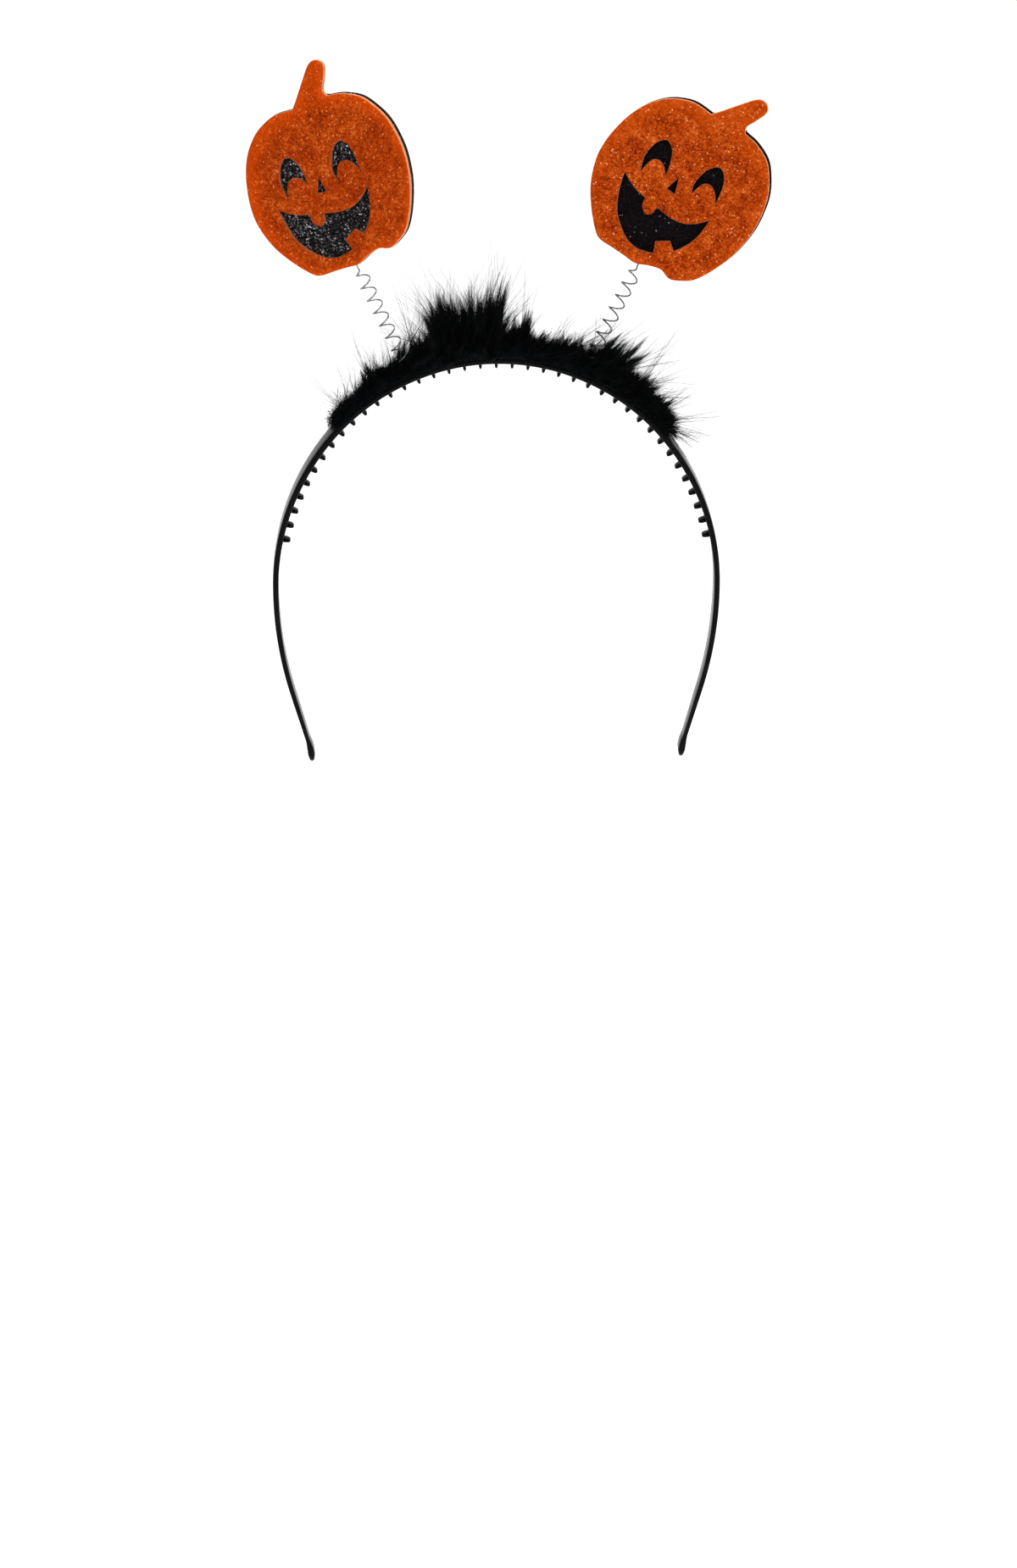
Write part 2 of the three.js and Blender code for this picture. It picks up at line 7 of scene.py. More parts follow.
import bpy
import mathutils.geometry
import numpy as np
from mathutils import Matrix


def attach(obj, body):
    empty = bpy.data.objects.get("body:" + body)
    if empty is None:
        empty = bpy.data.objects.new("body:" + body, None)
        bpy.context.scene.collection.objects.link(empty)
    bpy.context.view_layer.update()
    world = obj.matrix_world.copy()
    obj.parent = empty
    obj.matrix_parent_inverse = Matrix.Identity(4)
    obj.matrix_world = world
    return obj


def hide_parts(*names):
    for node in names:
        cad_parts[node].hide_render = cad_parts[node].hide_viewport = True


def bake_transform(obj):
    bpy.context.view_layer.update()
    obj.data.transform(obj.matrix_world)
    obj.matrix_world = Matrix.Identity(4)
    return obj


# Band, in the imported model's own sizes
BAND_HALF_LENGTH = 0.1792
BAND_THICKNESS = 0.002
BAND_WIDTH = 0.0095
BAND_EDGE = 0.0006
BAND_CROWN = 0.12
BAND_STATIONS = 420
TOOTH_COUNT = 39
TOOTH_PITCH = 0.00525
TOOTH_LENGTH = 0.0024
TOOTH_THICKNESS = 0.0012
TOOTH_DEPTH = 0.0046
TOOTH_ROOT = 0.0005
TOOTH_SIDES = 12
TOOTH_CORNER = 1.22

# Springs: the wire, with two stretches of its height above the seat, one across each joint
CLEARANCE = 0.0003
WIRE_RADIUS = 0.00025
WIRE_SIDES = 8
COIL_RADIUS = 0.0021
COIL_TURNS = 8
COIL_STEPS = 28
CLOSING_TURN = 0.75
SPRING_STAND = 0.0389
SPRING_LEG = 0.011
SEAT_TOP = 0.0015
HALF_WAY = 0.0185
LOWER_BEND = (0.0015, 0.0155)
UPPER_BEND = (0.0215, 0.0355)

# Foam pumpkins
PUMPKIN_WIDTH = 0.0546
PUMPKIN_HEIGHT = 0.053
FACE_LAYER = 0.00205
BACK_LAYER = 0.00225
GLUE_PLANE = -0.0005
FOAM_EDGE = 0.00045
GLUED_EDGE = 0.0001
EDGE_ANGLES = [0.0, 0.4, 0.8, 1.2, math.pi / 2]
WALL_INSET = 0.00004
FACE_GRID = 0.0009
FACE_PILLOW = 0.00018
PILLOW_REACH = 0.0011
RIPPLE_DEPTH = 0.00007
RIPPLE_REACH = 0.002

# The film wraps round the first steps of the wall. Its rim takes a colour of its own, a painted highlight
# on the orange films, widest up and to the left, towards the light
FILM_STEPS = 2
FILM, OUTER_WALL, OPENING_WALL = range(3)
RIM_REACH = 0.0042
RIM_GROWTH = 0.75
TOWARDS_LIGHT = np.array([-0.5, 0.87])

# Feather trim: a saddle-shaped core, locks of barbs, groups of long wisps and short down
TRIM_REACH_LEFT = 0.057
TRIM_REACH_RIGHT = 0.060
TRIM_HEIGHT = 0.0245
TRIM_SPREAD = 0.0085
CORE_RISE = 0.42
CORE_LIFT = 0.0004
CORE_SPREAD = 0.78
CORE_STATIONS = 90
CORE_SIDES = 20
LOCKS = 620
LOW_LOCKS = 560
LOW_LEAST = 0.0016
LOCK_PIECES = 5
LOCK_RADIUS = 0.0014
ROOT_SPREAD = 0.8
ROOT_LIFT = 0.0003
BARBS_PER_LOCK = 68
BARB_WIDTH = 0.00011
BARB_ROWS = 4
LOOSE_SHARE = 0.2
STRAY_REACH = 0.0045
WISPS = 480
HAIRS_PER_WISP = 7
WISP_REACH = 0.017
WISP_ROWS = 8
DOWN = 12000
DOWN_SPREAD = 0.72
DOWN_LENGTHS = (0.0018, 0.0040)
DOWN_ROWS = 4
FUR_SEED = 31

# Barbs keep clear of the band, and beyond the fur's depth they are drawn in towards its fringe
BAND_GAP = 0.0001
EDGE_GAP = 0.0002
SIDE_MARGIN = 0.0004
FUR_DEPTH = 0.012
FUR_FRINGE = 0.0095

# Springs' places and pumpkins' poses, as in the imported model: angles in degrees, seat in shares of
# the band's half length, entry and across in half widths and up in half heights of the pumpkin.
# The face is the place of the openings, and the backing lies a little off the layer before it.
BOPPERS = [
    {
        "side": "left", "sign": -1, "seat": 0.1557, "lean": 0.5, "entry": -0.103,
        "turn": -13, "nod": 18, "roll": -3.6, "face": {"turn": 5, "across": -0.051, "up": -0.008},
        "backing": {"turn": 0, "across": 0.004, "up": 0.010},
    },
    {
        "side": "right", "sign": 1, "seat": 0.1579, "lean": 1.3, "entry": -0.015,
        "turn": -14, "nod": 6, "roll": 0.6, "face": {"turn": -1.2, "across": 0.0, "up": 0.0},
        "backing": {"turn": 0, "across": 0.012, "up": 0.017},
    },
]
FRONT_PLACE = {"turn": 0, "across": 0.0, "up": 0.0}

# Stretches of the band's middle line from the crown to a tip: share of the half length, turn
BAND_LINE = [(0.127, 20), (0.215, 31), (0.301, 38), (0.216, 16.4), (0.101, 0), (0.04, -14)]

# Band sections from the crown (0) to the tip (1): along, width share, thickness share
BAND_TAPER = [
    (0.0, 1.0, 1.0),
    (0.45, 0.98, 1.0),
    (0.7, 0.86, 0.95),
    (0.88, 0.72, 0.8),
    (0.955, 0.64, 0.7),
    (0.972, 0.64, 1.1),
    (0.985, 0.6, 1.2),
    (0.996, 0.4, 0.8),
    (1.0, 0.2, 0.4),
]

# Tooth sections from its root (0) to its end (1): level, depth share, thickness share
TOOTH_TAPER = [
    (0.0, 1.0, 1.0),
    (0.55, 0.96, 0.95),
    (0.85, 0.84, 0.8),
    (0.97, 0.66, 0.55),
    (1.0, 0.5, 0.3),
]

# Trim from its left end (-1) to its right end (1): along, height share
TRIM_PROFILE = [
    (-1.0, 0.10),
    (-0.93, 0.14),
    (-0.82, 0.17),
    (-0.72, 0.18),
    (-0.65, 0.34),
    (-0.58, 0.26),
    (-0.50, 0.27),
    (-0.43, 0.40),
    (-0.36, 0.56),
    (-0.28, 0.90),
    (-0.22, 0.95),
    (-0.14, 0.84),
    (-0.08, 0.95),
    (0.0, 1.0),
    (0.035, 0.62),
    (0.06, 0.42),
    (0.12, 0.62),
    (0.16, 0.40),
    (0.25, 0.36),
    (0.34, 0.30),
    (0.44, 0.34),
    (0.50, 0.52),
    (0.58, 0.72),
    (0.68, 0.60),
    (0.76, 0.50),
    (0.85, 0.46),
    (0.92, 0.42),
    (1.0, 0.30),
]

# Tufts along the trim: along, length share, lean to the right and fan in degrees
TUFTS = [
    (-0.97, 0.20, 46, 12),
    (-0.91, 0.24, 40, 12),
    (-0.83, 0.18, 36, 12),
    (-0.71, 0.42, 22, 7),
    (-0.67, 0.32, 38, 11),
    (-0.61, 0.32, 34, 11),
    (-0.55, 0.60, 40, 8),
    (-0.47, 0.46, 32, 9),
    (-0.43, 0.58, 22, 5),
    (-0.31, 0.80, 12, 5),
    (-0.275, 0.98, -2, 4),
    (-0.24, 0.98, -3, 5),
    (-0.21, 0.88, -1, 7),
    (-0.17, 0.76, 0, 7),
    (-0.12, 0.90, -3, 6),
    (-0.08, 1.00, 1, 5),
    (-0.05, 1.04, 8, 5),
    (-0.04, 1.00, 16, 4),
    (0.12, 0.66, 5, 6),
    (0.18, 0.48, 38, 9),
    (0.25, 0.40, 44, 12),
    (0.33, 0.44, 31, 14),
    (0.42, 0.42, 20, 14),
    (0.50, 0.74, 14, 8),
    (0.58, 0.84, 24, 7),
    (0.66, 0.36, 14, 12),
    (0.75, 0.48, 22, 10),
    (0.83, 0.28, 22, 12),
    (0.90, 0.38, 34, 9),
    (0.95, 0.34, 40, 9),
    (0.99, 0.28, 56, 12),
]

# Low plumes round the band: splay away from its middle plane in degrees, share of the height
LOW_SPLAY = [(-76, 0.26), (-55, 0.36), (-30, 0.48), (0, 0.52), (30, 0.50), (55, 0.38), (76, 0.28)]

# Pumpkin outline in shares of half its width and half its height, in smooth stretches
PUMPKIN_OUTLINE = [
    [
        (-0.04, 0.98), (0.06, 1.08), (0.22, 1.25), (0.34, 1.37), (0.42, 1.4), (0.49, 1.37),
        (0.52, 1.29), (0.46, 1.16), (0.39, 1.04), (0.41, 0.96),
    ],
    [
        (0.41, 0.96), (0.58, 0.91), (0.77, 0.79), (0.89, 0.61), (0.97, 0.41), (1.0, 0.17),
        (0.99, -0.07), (0.92, -0.36), (0.79, -0.64), (0.65, -0.84), (0.51, -0.93), (0.38, -0.97),
        (0.25, -0.92), (0.11, -0.94), (-0.05, -0.99), (-0.2, -0.97), (-0.36, -0.95),
        (-0.53, -0.93), (-0.63, -0.86), (-0.79, -0.64), (-0.92, -0.39), (-0.99, -0.11),
        (-0.99, 0.1), (-0.95, 0.31), (-0.87, 0.54), (-0.75, 0.74), (-0.58, 0.9), (-0.41, 0.98),
        (-0.25, 1.01), (-0.04, 0.98),
    ],
]

# Stem of the backing, shorter and slimmer than the one in front of it
BACKING_STEM = [
    (-0.04, 0.98), (0.05, 1.04), (0.18, 1.16), (0.27, 1.24), (0.33, 1.26), (0.38, 1.23),
    (0.39, 1.16), (0.35, 1.07), (0.35, 1.0), (0.41, 0.96),
]

# Openings of the face, in the same way
FACE_OPENINGS = [
    [
        [
            (-0.47, 0.02), (-0.5, 0.21), (-0.45, 0.39), (-0.35, 0.48), (-0.25, 0.41),
            (-0.2, 0.25), (-0.19, 0.1),
        ],
        [(-0.19, 0.1), (-0.25, 0.19), (-0.34, 0.23), (-0.42, 0.18), (-0.47, 0.02)],
    ],
    [
        [
            (0.17, 0.05), (0.15, 0.17), (0.21, 0.36), (0.32, 0.46), (0.41, 0.41), (0.46, 0.27),
            (0.47, 0.06),
        ],
        [(0.47, 0.06), (0.4, 0.18), (0.31, 0.23), (0.23, 0.19), (0.17, 0.05)],
    ],
    [
        [(-0.04, 0.15), (-0.11, -0.03)],
        [(-0.11, -0.03), (0.0, -0.05)],
        [(0.0, -0.05), (-0.04, 0.15)],
    ],
    [
        [(-0.63, -0.07), (-0.52, -0.15), (-0.4, -0.21), (-0.29, -0.24)],
        [(-0.29, -0.24), (-0.28, -0.34), (-0.21, -0.41), (-0.14, -0.37), (-0.12, -0.28)],
        [(-0.12, -0.28), (0.05, -0.32), (0.22, -0.32), (0.37, -0.25), (0.49, -0.15)],
        [(0.49, -0.15), (0.45, -0.36), (0.38, -0.52), (0.27, -0.66)],
        [(0.27, -0.66), (0.18, -0.57)],
        [(0.18, -0.57), (0.03, -0.65)],
        [(0.03, -0.65), (0.07, -0.79)],
        [
            (0.07, -0.79), (-0.12, -0.82), (-0.28, -0.77), (-0.42, -0.65), (-0.53, -0.5),
            (-0.6, -0.28), (-0.63, -0.07),
        ],
    ],
]

# Camera: distance to its aim, direction in degrees, lens, how far it sees and the aim itself
CAMERA_DISTANCE = 1.5
CAMERA_ELEVATION = 24
CAMERA_AZIMUTH = -2
CAMERA_LENS = 104.25
CAMERA_SIGHT = 50
CAMERA_AIM = (0.00392, 0.0, -0.14732)
FLOOR_HEIGHT = -0.38
FLOOR_REACH = 60

# Soft lights, all aimed at the crown: name, place, width and power
SOFTBOXES = [
    ("key", (-0.5, -0.9, 0.9), 0.6, 7),
    ("fill", (0.8, -0.7, 0.3), 0.8, 3),
    ("top", (0.1, 0.35, 1.0), 0.5, 6),
]


def table_column(table, column, along):
    """Values of one column of a table at places along its first column."""
    rows = np.array(table)
    return np.interp(along, rows[:, 0], rows[:, column])


def turn_y(angle):
    """Turn about +Y, from +Z towards +X."""
    c, s = math.cos(angle), math.sin(angle)
    return np.array([[c, 0, s], [0, 1, 0], [-s, 0, c]])


def turn_x(angle):
    """Turn about +X, from +Y towards +Z."""
    c, s = math.cos(angle), math.sin(angle)
    return np.array([[1, 0, 0], [0, c, -s], [0, s, c]])


def turn_z(angle):
    """Turn about +Z, from +X towards +Y."""
    c, s = math.cos(angle), math.sin(angle)
    return np.array([[c, -s, 0], [s, c, 0], [0, 0, 1]])


def band_line_samples(steps=4000):
    """Arc lengths, x, z and headings along one half of the band's middle line."""
    shares = np.cumsum([0.0] + [share for share, _ in BAND_LINE])
    turns = np.radians(np.cumsum([0.0] + [turn for _, turn in BAND_LINE]))
    arcs = np.linspace(0, BAND_HALF_LENGTH, steps)
    headings = np.interp(arcs / BAND_HALF_LENGTH, shares / shares[-1], turns)
    step = arcs[1] - arcs[0]
    middle = (headings[1:] + headings[:-1]) / 2
    x = np.concatenate([[0.0], np.cumsum(np.cos(middle) * step)])
    z = BAND_THICKNESS / 2 - np.concatenate([[0.0], np.cumsum(np.sin(middle) * step)])
    return arcs, x, z, headings


BAND_ARCS, BAND_X, BAND_Z, BAND_HEADINGS = band_line_samples()


def band_heading(arcs):
    """Turn of the band's middle line at arc lengths, none at the crown."""
    return np.sign(arcs) * np.interp(np.abs(arcs), BAND_ARCS, BAND_HEADINGS)


def beside_band(arcs, across, out):
    """Points beside the band: across is along Y, out is away from its middle line."""
    arcs, across, out = np.broadcast_arrays(*map(np.asarray, (arcs, across, out)))
    heading = band_heading(arcs)
    x = np.sign(arcs) * np.interp(np.abs(arcs), BAND_ARCS, BAND_X) + out * np.sin(heading)
    z = np.interp(np.abs(arcs), BAND_ARCS, BAND_Z) + out * np.cos(heading)
    return np.stack([x, across, z], axis=-1)


def mesh_piece(name, points, faces, materials, body):
    """A smooth mesh from arrays of points and faces that moves with a body, where one is given."""
    mesh = bpy.data.meshes.new(name)
    mesh.from_pydata(np.asarray(points).tolist(), [], [list(map(int, f)) for f in faces])
    mesh.polygons.foreach_set("use_smooth", [True] * len(mesh.polygons))
    mesh.update()
    piece = bpy.data.objects.new(name, mesh)
    bpy.context.scene.collection.objects.link(piece)
    for material in materials:
        mesh.materials.append(material)
    if body:
        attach(piece, body)
    return piece


def ring_faces(rings, count):
    """Quads between rings of as many points, with the two end rings filled."""
    faces = []
    for ring in range(rings - 1):
        for i in range(count):
            a = ring * count + i
            b = ring * count + (i + 1) % count
            faces.append((a, b, b + count, a + count))
    faces.append(tuple(reversed(range(count))))
    faces.append(tuple(range((rings - 1) * count, rings * count)))
    return faces


def wire_tube(path):
    """Points and faces of the spring wire along a path of points."""
    path = np.asarray(path)
    ahead = np.gradient(path, axis=0)
    ahead /= np.linalg.norm(ahead, axis=1)[:, None]
    side = np.cross(ahead[0], [0.3, 0.9, 0.1])
    side /= np.linalg.norm(side)
    points = []
    for place, way in zip(path, ahead):
        side = side - way * side.dot(way)
        side /= np.linalg.norm(side)
        other = np.cross(way, side)
        for k in range(WIRE_SIDES):
            angle = 2 * math.pi * k / WIRE_SIDES
            points.append(place + WIRE_RADIUS * (math.cos(angle) * side + math.sin(angle) * other))
    return np.array(points), ring_faces(len(path), WIRE_SIDES)


def new_material(name):
    """A material with its nodes, its links and its shader."""
    material = bpy.data.materials.new(name)
    material.use_nodes = True
    nodes = material.node_tree.nodes
    return material, nodes, material.node_tree.links, nodes["Principled BSDF"]


def ramp(nodes, stops):
    """A colour ramp node from (place, colour) stops."""
    node = nodes.new("ShaderNodeValToRGB")
    elements = node.color_ramp.elements
    while len(elements) < len(stops):
        elements.new(0.5)
    for element, (place, colour) in zip(elements, stops):
        element.position = place
        element.color = (*colour, 1)
    return node


def noise(nodes, links, coordinates, scale, detail=2.0):
    """Output of a noise texture."""
    node = nodes.new("ShaderNodeTexNoise")
    node.inputs["Scale"].default_value = scale
    node.inputs["Detail"].default_value = detail
    links.new(coordinates, node.inputs["Vector"])
    return node.outputs["Fac"]


def bumped(nodes, links, shader, height, strength, distance):
    """A shader with relief from a height."""
    bump = nodes.new("ShaderNodeBump")
    bump.inputs["Strength"].default_value = strength
    bump.inputs["Distance"].default_value = distance
    links.new(height, bump.inputs["Height"])
    links.new(bump.outputs["Normal"], shader.inputs["Normal"])


def mottled_material(name, scale, detail, stops, specular=None):
    """A material whose colour varies by noise, with what it takes to add more to it."""
    material, nodes, links, shader = new_material(name)
    place = nodes.new("ShaderNodeTexCoord").outputs["Object"]
    colours = ramp(nodes, stops)
    links.new(noise(nodes, links, place, scale, detail), colours.inputs["Fac"])
    links.new(colours.outputs["Color"], shader.inputs["Base Color"])
    if specular is not None:
        shader.inputs["Specular IOR Level"].default_value = specular
    return material, nodes, links, shader, place


def blend_colours(nodes, links, factor, first, second):
    """Mix of two colours by a factor; each may be a socket or a fixed colour."""
    node = nodes.new("ShaderNodeMix")
    node.data_type = "RGBA"
    sockets = (node.inputs[0], node.inputs[6], node.inputs[7])
    for socket, value in zip(sockets, (factor, first, second)):
        if isinstance(value, bpy.types.NodeSocket):
            links.new(value, socket)
        elif isinstance(value, tuple):
            socket.default_value = (*value, 1)
        else:
            socket.default_value = value
    return node.outputs[2]


def between(nodes, links, value, low, high, least=0.0, most=1.0):
    """A value taken from one range to another, kept inside it."""
    node = nodes.new("ShaderNodeMapRange")
    node.inputs["From Min"].default_value = low
    node.inputs["From Max"].default_value = high
    node.inputs["To Min"].default_value = least
    node.inputs["To Max"].default_value = most
    links.new(value, node.inputs["Value"])
    return node.outputs["Result"]


def glitter_material(name, look):
    """Glitter film: flakes of random tint and tilt, painted glints, mottling, random patches of painted
    light and shade, and a rim colour, a painted highlight on the orange films.
    """
    material, nodes, links, shader = new_material(name)
    place = nodes.new("ShaderNodeTexCoord").outputs["Object"]
    flakes = nodes.new("ShaderNodeTexVoronoi")
    flakes.inputs["Scale"].default_value = 1 / look["flake"]
    links.new(place, flakes.inputs["Vector"])
    parts = nodes.new("ShaderNodeSeparateColor")
    links.new(flakes.outputs["Color"], parts.inputs["Color"])
    mottling = noise(nodes, links, place, 620, 3)
    # Broad patches of painted light and shade, placed at random.
    light_and_shade_patches = between(nodes, links, noise(nodes, links, place, 175), 0.3, 0.7)

    def weighted(first, second, share):
        node = nodes.new("ShaderNodeMix")
        node.inputs["Factor"].default_value = share
        links.new(first, node.inputs["A"])
        links.new(second, node.inputs["B"])
        return node.outputs["Result"]

    uneven = weighted(mottling, light_and_shade_patches, look["light_and_shade_patches"])
    tint = weighted(uneven, parts.outputs["Red"], look["flake_tint"])
    colours = ramp(nodes, look["stops"])
    links.new(tint, colours.inputs["Fac"])
    # Rim colour along the outline: a painted highlight on the orange films, widest towards the light; a
    # plain dark tone on the black films.
    rim = nodes.new("ShaderNodeAttribute")
    rim.attribute_name = "rim"
    edge = between(nodes, links, rim.outputs["Fac"], 0, 1, look["rim_share"], 0)
    colour = blend_colours(nodes, links, edge, colours.outputs["Color"], look["rim"])
    # Painted glints: a share of the flakes take the bright sparkle colour.
    glint_mix = between(nodes, links, parts.outputs["Green"], 1 - look["painted_glint_share"], 1.0)
    colour = blend_colours(nodes, links, glint_mix, colour, look["painted_glint_colour"])
    links.new(colour, shader.inputs["Base Color"])
    tilt = nodes.new("ShaderNodeVectorMath")
    tilt.operation = "SUBTRACT"
    tilt.inputs[1].default_value = (0.5, 0.5, 0.5)
    links.new(flakes.outputs["Color"], tilt.inputs[0])
    normal = nodes.new("ShaderNodeVectorMath")
    normal.operation = "MULTIPLY_ADD"
    normal.inputs[1].default_value = (look["tilt"],) * 3
    links.new(tilt.outputs["Vector"], normal.inputs[0])
    links.new(nodes.new("ShaderNodeNewGeometry").outputs["Normal"], normal.inputs[2])
    unit_normal = nodes.new("ShaderNodeVectorMath")
    unit_normal.operation = "NORMALIZE"
    links.new(normal.outputs["Vector"], unit_normal.inputs[0])
    links.new(unit_normal.outputs["Vector"], shader.inputs["Normal"])
    roughness = between(nodes, links, parts.outputs["Blue"], 0, 1, *look["roughness"])
    links.new(roughness, shader.inputs["Roughness"])
    shader.inputs["Metallic"].default_value = look["metallic"]
    shader.inputs["Specular IOR Level"].default_value = look["specular"]
    return material


def foam_material(name, stops):
    """Cut foam wall: fine closed cells."""
    material, nodes, links, shader, place = mottled_material(name, 900, 2, stops, specular=0.08)
    cells = nodes.new("ShaderNodeTexVoronoi")
    cells.inputs["Scale"].default_value = 4500
    links.new(place, cells.inputs["Vector"])
    bumped(nodes, links, shader, cells.outputs["Distance"], 0.35, 0.0001)
    shader.inputs["Roughness"].default_value = 0.85
    return material


def plastic_material(name):
    """Moulded black plastic with faint flow marks and an uneven gloss."""
    stops = [(0.3, (0.0006, 0.0007, 0.0010)), (0.7, (0.0026, 0.0028, 0.0032))]
    material, nodes, links, shader, place = mottled_material(name, 420, 3, stops, specular=0.06)
    gloss = between(nodes, links, noise(nodes, links, place, 150, 4), 0, 1, 0.14, 0.26)
    links.new(gloss, shader.inputs["Roughness"])
    bumped(nodes, links, shader, noise(nodes, links, place, 260), 0.08, 0.0002)
    return material


def steel_material(name, dark, light):
    """Drawn spring wire."""
    stops = [(0.3, (dark, dark, dark * 1.05)), (0.7, (light, light, light * 1.02))]
    material, _, _, shader, _ = mottled_material(name, 1800, 2, stops)
    shader.inputs["Metallic"].default_value = 1.0
    shader.inputs["Roughness"].default_value = 0.32
    return material


def feather_material(name):
    """Dyed black marabou, nearly matte, a little greyer here and there."""
    stops = [(0.35, (0.0003, 0.0006, 0.0010)), (0.75, (0.0022, 0.0030, 0.0038))]
    material, _, _, shader, _ = mottled_material(name, 240, 2, stops, specular=0.08)
    shader.inputs["Roughness"].default_value = 0.8
    return material


def glue_material(name):
    """Dark glue of the hidden spring seats."""
    stops = [(0.3, (0.012, 0.012, 0.013)), (0.7, (0.03, 0.03, 0.031))]
    material, _, _, shader, _ = mottled_material(name, 700, 2, stops)
    shader.inputs["Roughness"].default_value = 0.4
    return material


def band_section(half, thick):
    """Rounded section of the band: (across, out) points, flat inside and crowned outside."""
    edge = min(BAND_EDGE, thick * 0.6, half * 0.5)
    points = []
    for corner_across, corner_out, first in ((1, 1, 0), (-1, 1, 90), (-1, -1, 180), (1, -1, 270)):
        for step in range(4):
            angle = math.radians(first + 30 * step)
            across = corner_across * (half - edge) + edge * math.cos(angle)
            out = corner_out * (thick - edge) + edge * math.sin(angle)
            crown = BAND_CROWN * thick * (1 - (across / half) ** 2) if out > 0 else 0
            points.append((across, out - BAND_CROWN * thick * (out > 0) + crown))
        if corner_out > 0 and corner_across > 0:
            for share in (0.5, 0.0, -0.5):
                points.append((share * half, thick - BAND_CROWN * thick * share * share))
    return points


def build_band(material):
    """The band and its teeth as one moulded piece."""
    arcs = np.linspace(-BAND_HALF_LENGTH, BAND_HALF_LENGTH, BAND_STATIONS)
    along = np.abs(arcs) / BAND_HALF_LENGTH
    widths = table_column(BAND_TAPER, 1, along) * BAND_WIDTH / 2
    thicks = table_column(BAND_TAPER, 2, along) * BAND_THICKNESS / 2
    points = []
    for arc, half, thick in zip(arcs, widths, thicks):
        section = np.array(band_section(half, thick))
        points.append(beside_band(np.full(len(section), arc), section[:, 0], section[:, 1]))
    count = len(points[0])
    faces = ring_faces(len(arcs), count)
    points = [np.concatenate(points)]
    total = len(points[0])
    for i in range(TOOTH_COUNT):
        arc = (i - (TOOTH_COUNT - 1) / 2) * TOOTH_PITCH
        tooth_points, tooth_faces = tooth(arc)
        points.append(tooth_points)
        faces += [tuple(total + k for k in face) for face in tooth_faces]
        total += len(tooth_points)
    band = mesh_piece("band", np.concatenate(points), faces, [material], "headband")
    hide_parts("headband")


def tooth(arc):
    """One blade across the band's inner face, rounded towards its end."""
    root = -BAND_THICKNESS / 2 + TOOTH_ROOT
    end = -BAND_THICKNESS / 2 - TOOTH_LENGTH
    rings = []
    for level, depth, thickness in TOOTH_TAPER:
        out = root + (end - root) * level
        ring = []
        for k in range(TOOTH_SIDES):
            angle = 2 * math.pi * (k + 0.5) / TOOTH_SIDES
            bulge = 1 / max(abs(math.cos(angle)), abs(math.sin(angle)))
            round_off = min(bulge, TOOTH_CORNER)
            across = TOOTH_DEPTH / 2 * depth * math.cos(angle) * round_off
            along = TOOTH_THICKNESS / 2 * thickness * math.sin(angle) * round_off
            ring.append(beside_band(arc + along, across, out))
        rings.append(np.array(ring))
    return np.concatenate(rings), ring_faces(len(rings), TOOTH_SIDES)


def bopper_frames(bopper):
    """Turn and seat of a bopper's spring, then the turn of its pumpkin and the spring's tip."""
    arc = bopper["sign"] * bopper["seat"] * BAND_HALF_LENGTH
    stalk = turn_y(float(band_heading(arc)))
    foot = beside_band(arc, 0.0, BAND_THICKNESS / 2)
    spring = stalk @ turn_y(math.radians(bopper["sign"] * bopper["lean"]))
    seat = foot + stalk @ np.array([0, 0, SEAT_TOP])
    tip = seat + spring @ np.array([0, 0, SPRING_STAND - SEAT_TOP])
    pumpkin = spring @ turn_z(math.radians(bopper["turn"])) @ turn_x(math.radians(-bopper["nod"]))
    return spring, seat, pumpkin, tip


def spring_path(bopper):
    """Centre line of the wire: the coil, which closes in under the pumpkin, and the leg."""
    spring, seat, pumpkin, _ = bopper_frames(bopper)
    bottom = CLEARANCE + 2 * WIRE_RADIUS
    top = SPRING_STAND - SEAT_TOP - CLEARANCE - WIRE_RADIUS
    turns = np.linspace(0, COIL_TURNS, COIL_TURNS * COIL_STEPS + 1)
    closing = np.clip((turns - COIL_TURNS + CLOSING_TURN) / CLOSING_TURN, 0, 1)
    radius = COIL_RADIUS * (1 - closing * closing * (3 - 2 * closing))
    angle = 2 * math.pi * turns
    height = bottom + (top - bottom) * turns / COIL_TURNS
    coil = np.stack([radius * np.cos(angle), radius * np.sin(angle), height], axis=1)
    leg_way = spring.T @ pumpkin @ np.array([0, 0, 1])
    leg = coil[-1] + np.outer(np.linspace(0.0005, SPRING_LEG, 14), leg_way)
    return seat + np.concatenate([coil, leg]) @ spring.T, height


def build_spring(bopper, material):
    """The wire in two pieces, lower and upper, split half way up the coil."""
    side = bopper["side"]
    path, heights = spring_path(bopper)
    half_way = int(np.searchsorted(heights, HALF_WAY))
    stretches = [
        ("lower", path[: half_way + 1], ("headband", side + "_coil"), LOWER_BEND),
        ("upper", path[half_way:], (side + "_coil", side + "_pumpkin"), UPPER_BEND),
    ]
    for part, points, bodies, (start, end) in stretches:
        tube_points, tube_faces = wire_tube(points)
        name = f"{side}_spring_{part}"
        wire = mesh_piece(name, tube_points, tube_faces, [material], None)
        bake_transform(wire)
        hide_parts(side + "_spring")


def smooth_stretch(stretch, steps=8):
    """Points of a smooth line through a stretch, without its last point."""
    points = np.array(stretch)
    if len(points) == 2:
        shares = np.linspace(0, 1, 4, endpoint=False)[:, None]
        return points[0] + (points[1] - points[0]) * shares
    padded = np.vstack([points[0], points, points[-1]])
    made = []
    for a, b, c, d in zip(padded[:-3], padded[1:-2], padded[2:-1], padded[3:]):
        for t in np.linspace(0, 1, steps, endpoint=False):
            made.append(
                0.5 * (2 * b + (c - a) * t + (2 * a - 5 * b + 4 * c - d) * t * t
                       + (3 * b - a - 3 * c + d) * t ** 3)
            )
    return np.array(made)


